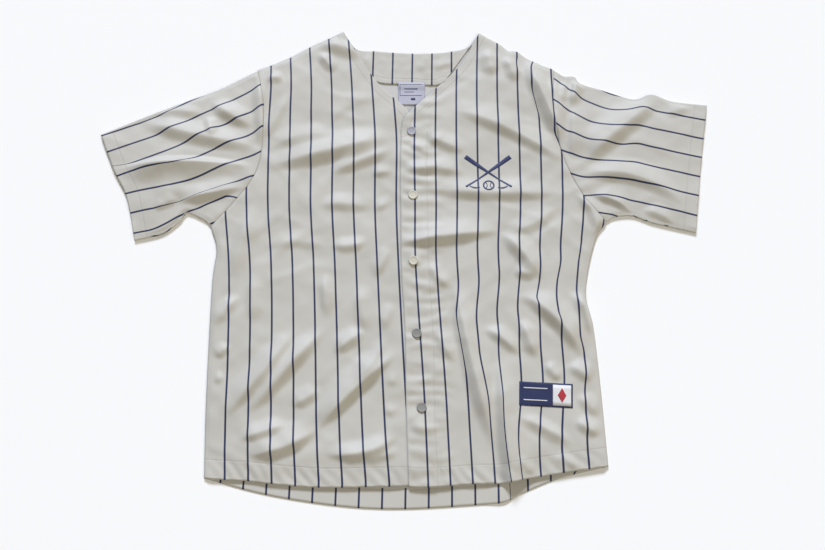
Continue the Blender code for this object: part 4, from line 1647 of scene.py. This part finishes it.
@dataclass
class HemPatch:
    """The small woven patch near the hem: navy with a white panel and a red lozenge."""

    size: Way = (79.0, 36.0)
    middle: Way = (210.0, -193.5)
    turn: float = math.radians(-3.0)

    def surface(self, points: Array) -> Array:
        """Return the height of the patch's top."""
        return left_front_top(points) + 1.1

    def build(self, materials: Materials) -> None:
        """Build the patch and its woven marks.

        Args:
            materials: the finishes.
        """
        plan = rectangle(self.size, self.middle, self.turn, 18, 38)
        edge = np.minimum.reduce(
            [
                np.arange(39)[None, :] + np.zeros((19, 1)),
                38 - np.arange(39)[None, :] + np.zeros((19, 1)),
                np.arange(19)[:, None] + np.zeros((1, 39)),
                18 - np.arange(19)[:, None] + np.zeros((1, 39)),
            ]
        )
        top = self.surface(plan) - 0.5 * (edge < 0.5)
        obj = add_mesh("hem_patch_cloth", np.dstack([plan, top]), uv_layers=(("pattern", plan * MM),))
        give_faces(obj, materials, PATCH_NAVY)
        thicken(obj, 0.6, inside_offset=0)
        settle(obj, "hem_patch")
        self._band("patch_panel", (10.0, 0.0), (37.0, 0.0), 31.0, THREAD_WHITE, 0.25, materials)
        self._band("patch_line_one", (-33.0, 9.0), (2.0, 9.0), 1.4, THREAD_WHITE, 0.3, materials)
        self._band("patch_line_two", (-33.0, -9.0), (2.0, -9.0), 1.4, THREAD_WHITE, 0.3, materials)
        self._lozenge(materials)

    def _place(self, side: float, up: float) -> Way:
        """Place a spot of the patch.

        Args:
            side: how far across the patch from its centre.
            up: how far up it.

        Returns:
            x and y in millimetres from the chest point.
        """
        x = self.middle[0] + side * math.cos(self.turn) - up * math.sin(self.turn)
        y = self.middle[1] + side * math.sin(self.turn) + up * math.cos(self.turn)
        return x, y

    def _band(
        self,
        name: str,
        start: Way,
        end: Way,
        width: float,
        finish: ClothFinish,
        lift: float,
        materials: Materials,
    ) -> None:
        """Add a straight band of thread across the patch.

        Args:
            name: the band's name.
            start: one end, across and up the patch.
            end: the other end.
            width: its width.
            finish: its thread.
            lift: how far it stands off the patch.
            materials: the finishes.
        """
        middle = ((start[0] + end[0]) / 2, (start[1] + end[1]) / 2)
        path = tuple(self._place(*spot) for spot in (start, middle, end))
        Ribbon(name, path, (width, width), finish, self.surface, lift).build(materials)

    def _lozenge(self, materials: Materials) -> None:
        """Add the red lozenge on the white panel."""
        path = tuple(self._place(23.5, up) for up in (-10.5, 0.0, 10.5))
        Ribbon("patch_lozenge", path, (0.6, 13.0, 0.6), THREAD_RED, self.surface, 0.6).build(materials)


@dataclass
class Label:
    """The woven label below the facing, with a plain woven frame and bars."""

    size: Way = (44.0, 41.0)
    middle: Way = (12.0, 306.5)

    def surface(self, points: Array) -> Array:
        """Return the height of the label's top, which steps down off the facing's edge."""
        return BACK_TOP + 1.1 + 1.3 * climb(points[..., 1] - 312.0, 8.0) + 0.2 * uneven(points, 14.0, 6.0)

    def build(self, materials: Materials) -> None:
        """Build the label and its woven marks.

        Args:
            materials: the finishes.
        """
        plan = rectangle(self.size, self.middle, 0.0, 16, 18)
        obj = add_mesh(
            "label_cloth", np.dstack([plan, self.surface(plan)]), uv_layers=(("pattern", plan * MM),)
        )
        give_faces(obj, materials, LABEL_CLOTH)
        thicken(obj, 0.4, inside_offset=0)
        settle(obj, "label")
        x, y = self.middle
        marks = (
            ("label_frame_left", (x - 19, y + 17), (x - 19, y - 3), 0.7),
            ("label_frame_top", (x - 19, y + 17), (x + 17, y + 17), 0.7),
            ("label_frame_low", (x - 19, y - 3), (x + 17, y - 3), 0.9),
            ("label_bar_one", (x - 12, y + 9), (x + 10, y + 9), 1.6),
            ("label_bar_two", (x - 12, y + 3.5), (x + 4, y + 3.5), 1.2),
            ("label_block", (x - 1, y - 9.5), (x + 6, y - 9.5), 4.2),
        )
        for name, start, end, width in marks:
            middle = ((start[0] + end[0]) / 2, (start[1] + end[1]) / 2)
            Ribbon(name, (start, middle, end), (width, width), THREAD_NAVY, self.surface, 0.25).build(
                materials, on_label=True
            )


@dataclass
class SnapCap:
    """One flat snap cap, turned about its own axis and seated square on the placket."""

    spot: Spot
    steps: int = 48

    def build(self, materials: Materials) -> None:
        """Build the cap and put it on the frame.

        Args:
            materials: the finishes.
        """
        middle = np.array([self.spot.x, self.spot.y])
        turns = np.linspace(0.0, 2 * math.pi, 24, endpoint=False)
        rim = np.column_stack([np.cos(turns), np.sin(turns)]) * SNAP_RADIUS
        heights = left_front_top(middle + rim)
        lean = 2 * (heights[:, None] * rim).mean(axis=0) / SNAP_RADIUS**2
        seat = max(heights.mean(), (heights - rim @ lean).max() - 0.3) + 0.1
        mesh = bpy.data.meshes.new(f"{self.spot.where}_cap")
        points = [(radius * MM, 0.0, height * MM) for radius, height in SNAP_PROFILE]
        mesh.from_pydata(points, [(i, i + 1) for i in range(len(points) - 1)], [])
        obj = bpy.data.objects.new(f"{self.spot.where}_cap", mesh)
        bpy.context.scene.collection.objects.link(obj)
        screw = obj.modifiers.new("turned", "SCREW")
        screw.steps = self.steps
        screw.render_steps = self.steps
        screw.use_merge_vertices = True
        screw.merge_threshold = 0.00001
        screw.use_smooth_shade = True
        # The cap's colour is a painted reflection.
        mesh.materials.append(materials.snap(SNAP_PAINTED_REFLECTIONS[self.spot.where]))
        place = (middle - BOX_MIDDLE) * MM
        obj.location = (place[0], place[1], seat * MM)
        normal = Vector((-lean[0], -lean[1], 1.0)).normalized()
        obj.rotation_mode = "QUATERNION"
        obj.rotation_quaternion = Vector((0.0, 0.0, 1.0)).rotation_difference(normal)
        settle(obj, self.spot.where)


@dataclass
class Studio:
    """The camera at the photograph's angle, soft lights and a plain pale floor."""

    tilt: float = math.radians(18.0)
    distance: float = 1.42
    lens: float = 40.19
    target: tuple[float, float, float] = (0.0116, -0.0389, 0.0)

    def build(self) -> None:
        """Build the studio."""
        self._camera()
        bpy.context.scene.view_settings.view_transform = "Standard"
        self._light("key", (-0.5, 5.0, 3.0), 4.0, 16.0, (0.79, 0.85, 1.0))
        self._light("fill", (2.2, -1.8, 3.2), 1.3, 50.0, (1.0, 0.92, 0.76))
        world = bpy.data.worlds.new("room")
        world.use_nodes = True
        background = world.node_tree.nodes["Background"]
        background.inputs["Color"].default_value = (1.0, 0.98, 0.90, 1.0)
        background.inputs["Strength"].default_value = 0.18
        bpy.context.scene.world = world
        mesh = bpy.data.meshes.new("floor")
        half = 6.0
        corners = [(-half, -half, 0.0), (half, -half, 0.0), (half, half, 0.0), (-half, half, 0.0)]
        mesh.from_pydata(corners, [], [(0, 1, 2, 3)])
        floor = bpy.data.objects.new("floor", mesh)
        floor.location.z = -0.0002
        material = bpy.data.materials.new("floor")
        material.use_nodes = True
        shader = material.node_tree.nodes["Principled BSDF"]
        shader.inputs["Base Color"].default_value = (0.93, 0.93, 0.92, 1.0)
        shader.inputs["Roughness"].default_value = 0.9
        mesh.materials.append(material)
        bpy.context.scene.collection.objects.link(floor)

    def _camera(self) -> None:
        """Point the camera as the photograph's was."""
        camera = bpy.data.cameras.new("camera")
        camera.lens = self.lens
        camera.sensor_width = 36.0
        obj = bpy.data.objects.new("camera", camera)
        back = Vector((0.0, -math.sin(self.tilt), math.cos(self.tilt)))
        obj.location = Vector(self.target) + back * self.distance
        obj.rotation_euler = (self.tilt, 0.0, 0.0)
        bpy.context.scene.collection.objects.link(obj)
        bpy.context.scene.camera = obj

    @staticmethod
    def _light(
        name: str, place: tuple[float, float, float], strength: float, width: float, color: Color
    ) -> None:
        """Add one far soft light.

        Args:
            name: the light's name.
            place: where it shines from.
            strength: its strength.
            width: how wide it looks, in degrees.
            color: its colour.
        """
        light = bpy.data.lights.new(name, "SUN")
        light.angle = math.radians(width)
        light.energy = strength
        light.color = color
        obj = bpy.data.objects.new(name, light)
        obj.location = place
        obj.rotation_mode = "QUATERNION"
        obj.rotation_quaternion = Vector(place).to_track_quat("Z", "Y")
        bpy.context.scene.collection.objects.link(obj)


def main() -> None:
    """Build the shirt's looks around the frame."""
    logging.basicConfig(level=logging.INFO)
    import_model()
    materials = Materials()
    shirt = [Back(), Facing(), Label()]
    for side in Side:
        shirt += [Front(side), Sleeve(side)]
    shirt += [HemPatch(), Emblem()]
    shirt += [SnapCap(spot) for spot in SNAPS]
    for piece in shirt:
        piece.build(materials)
        log.info("built %s", piece)
    Studio().build()


if __name__ == "__main__":
    main()
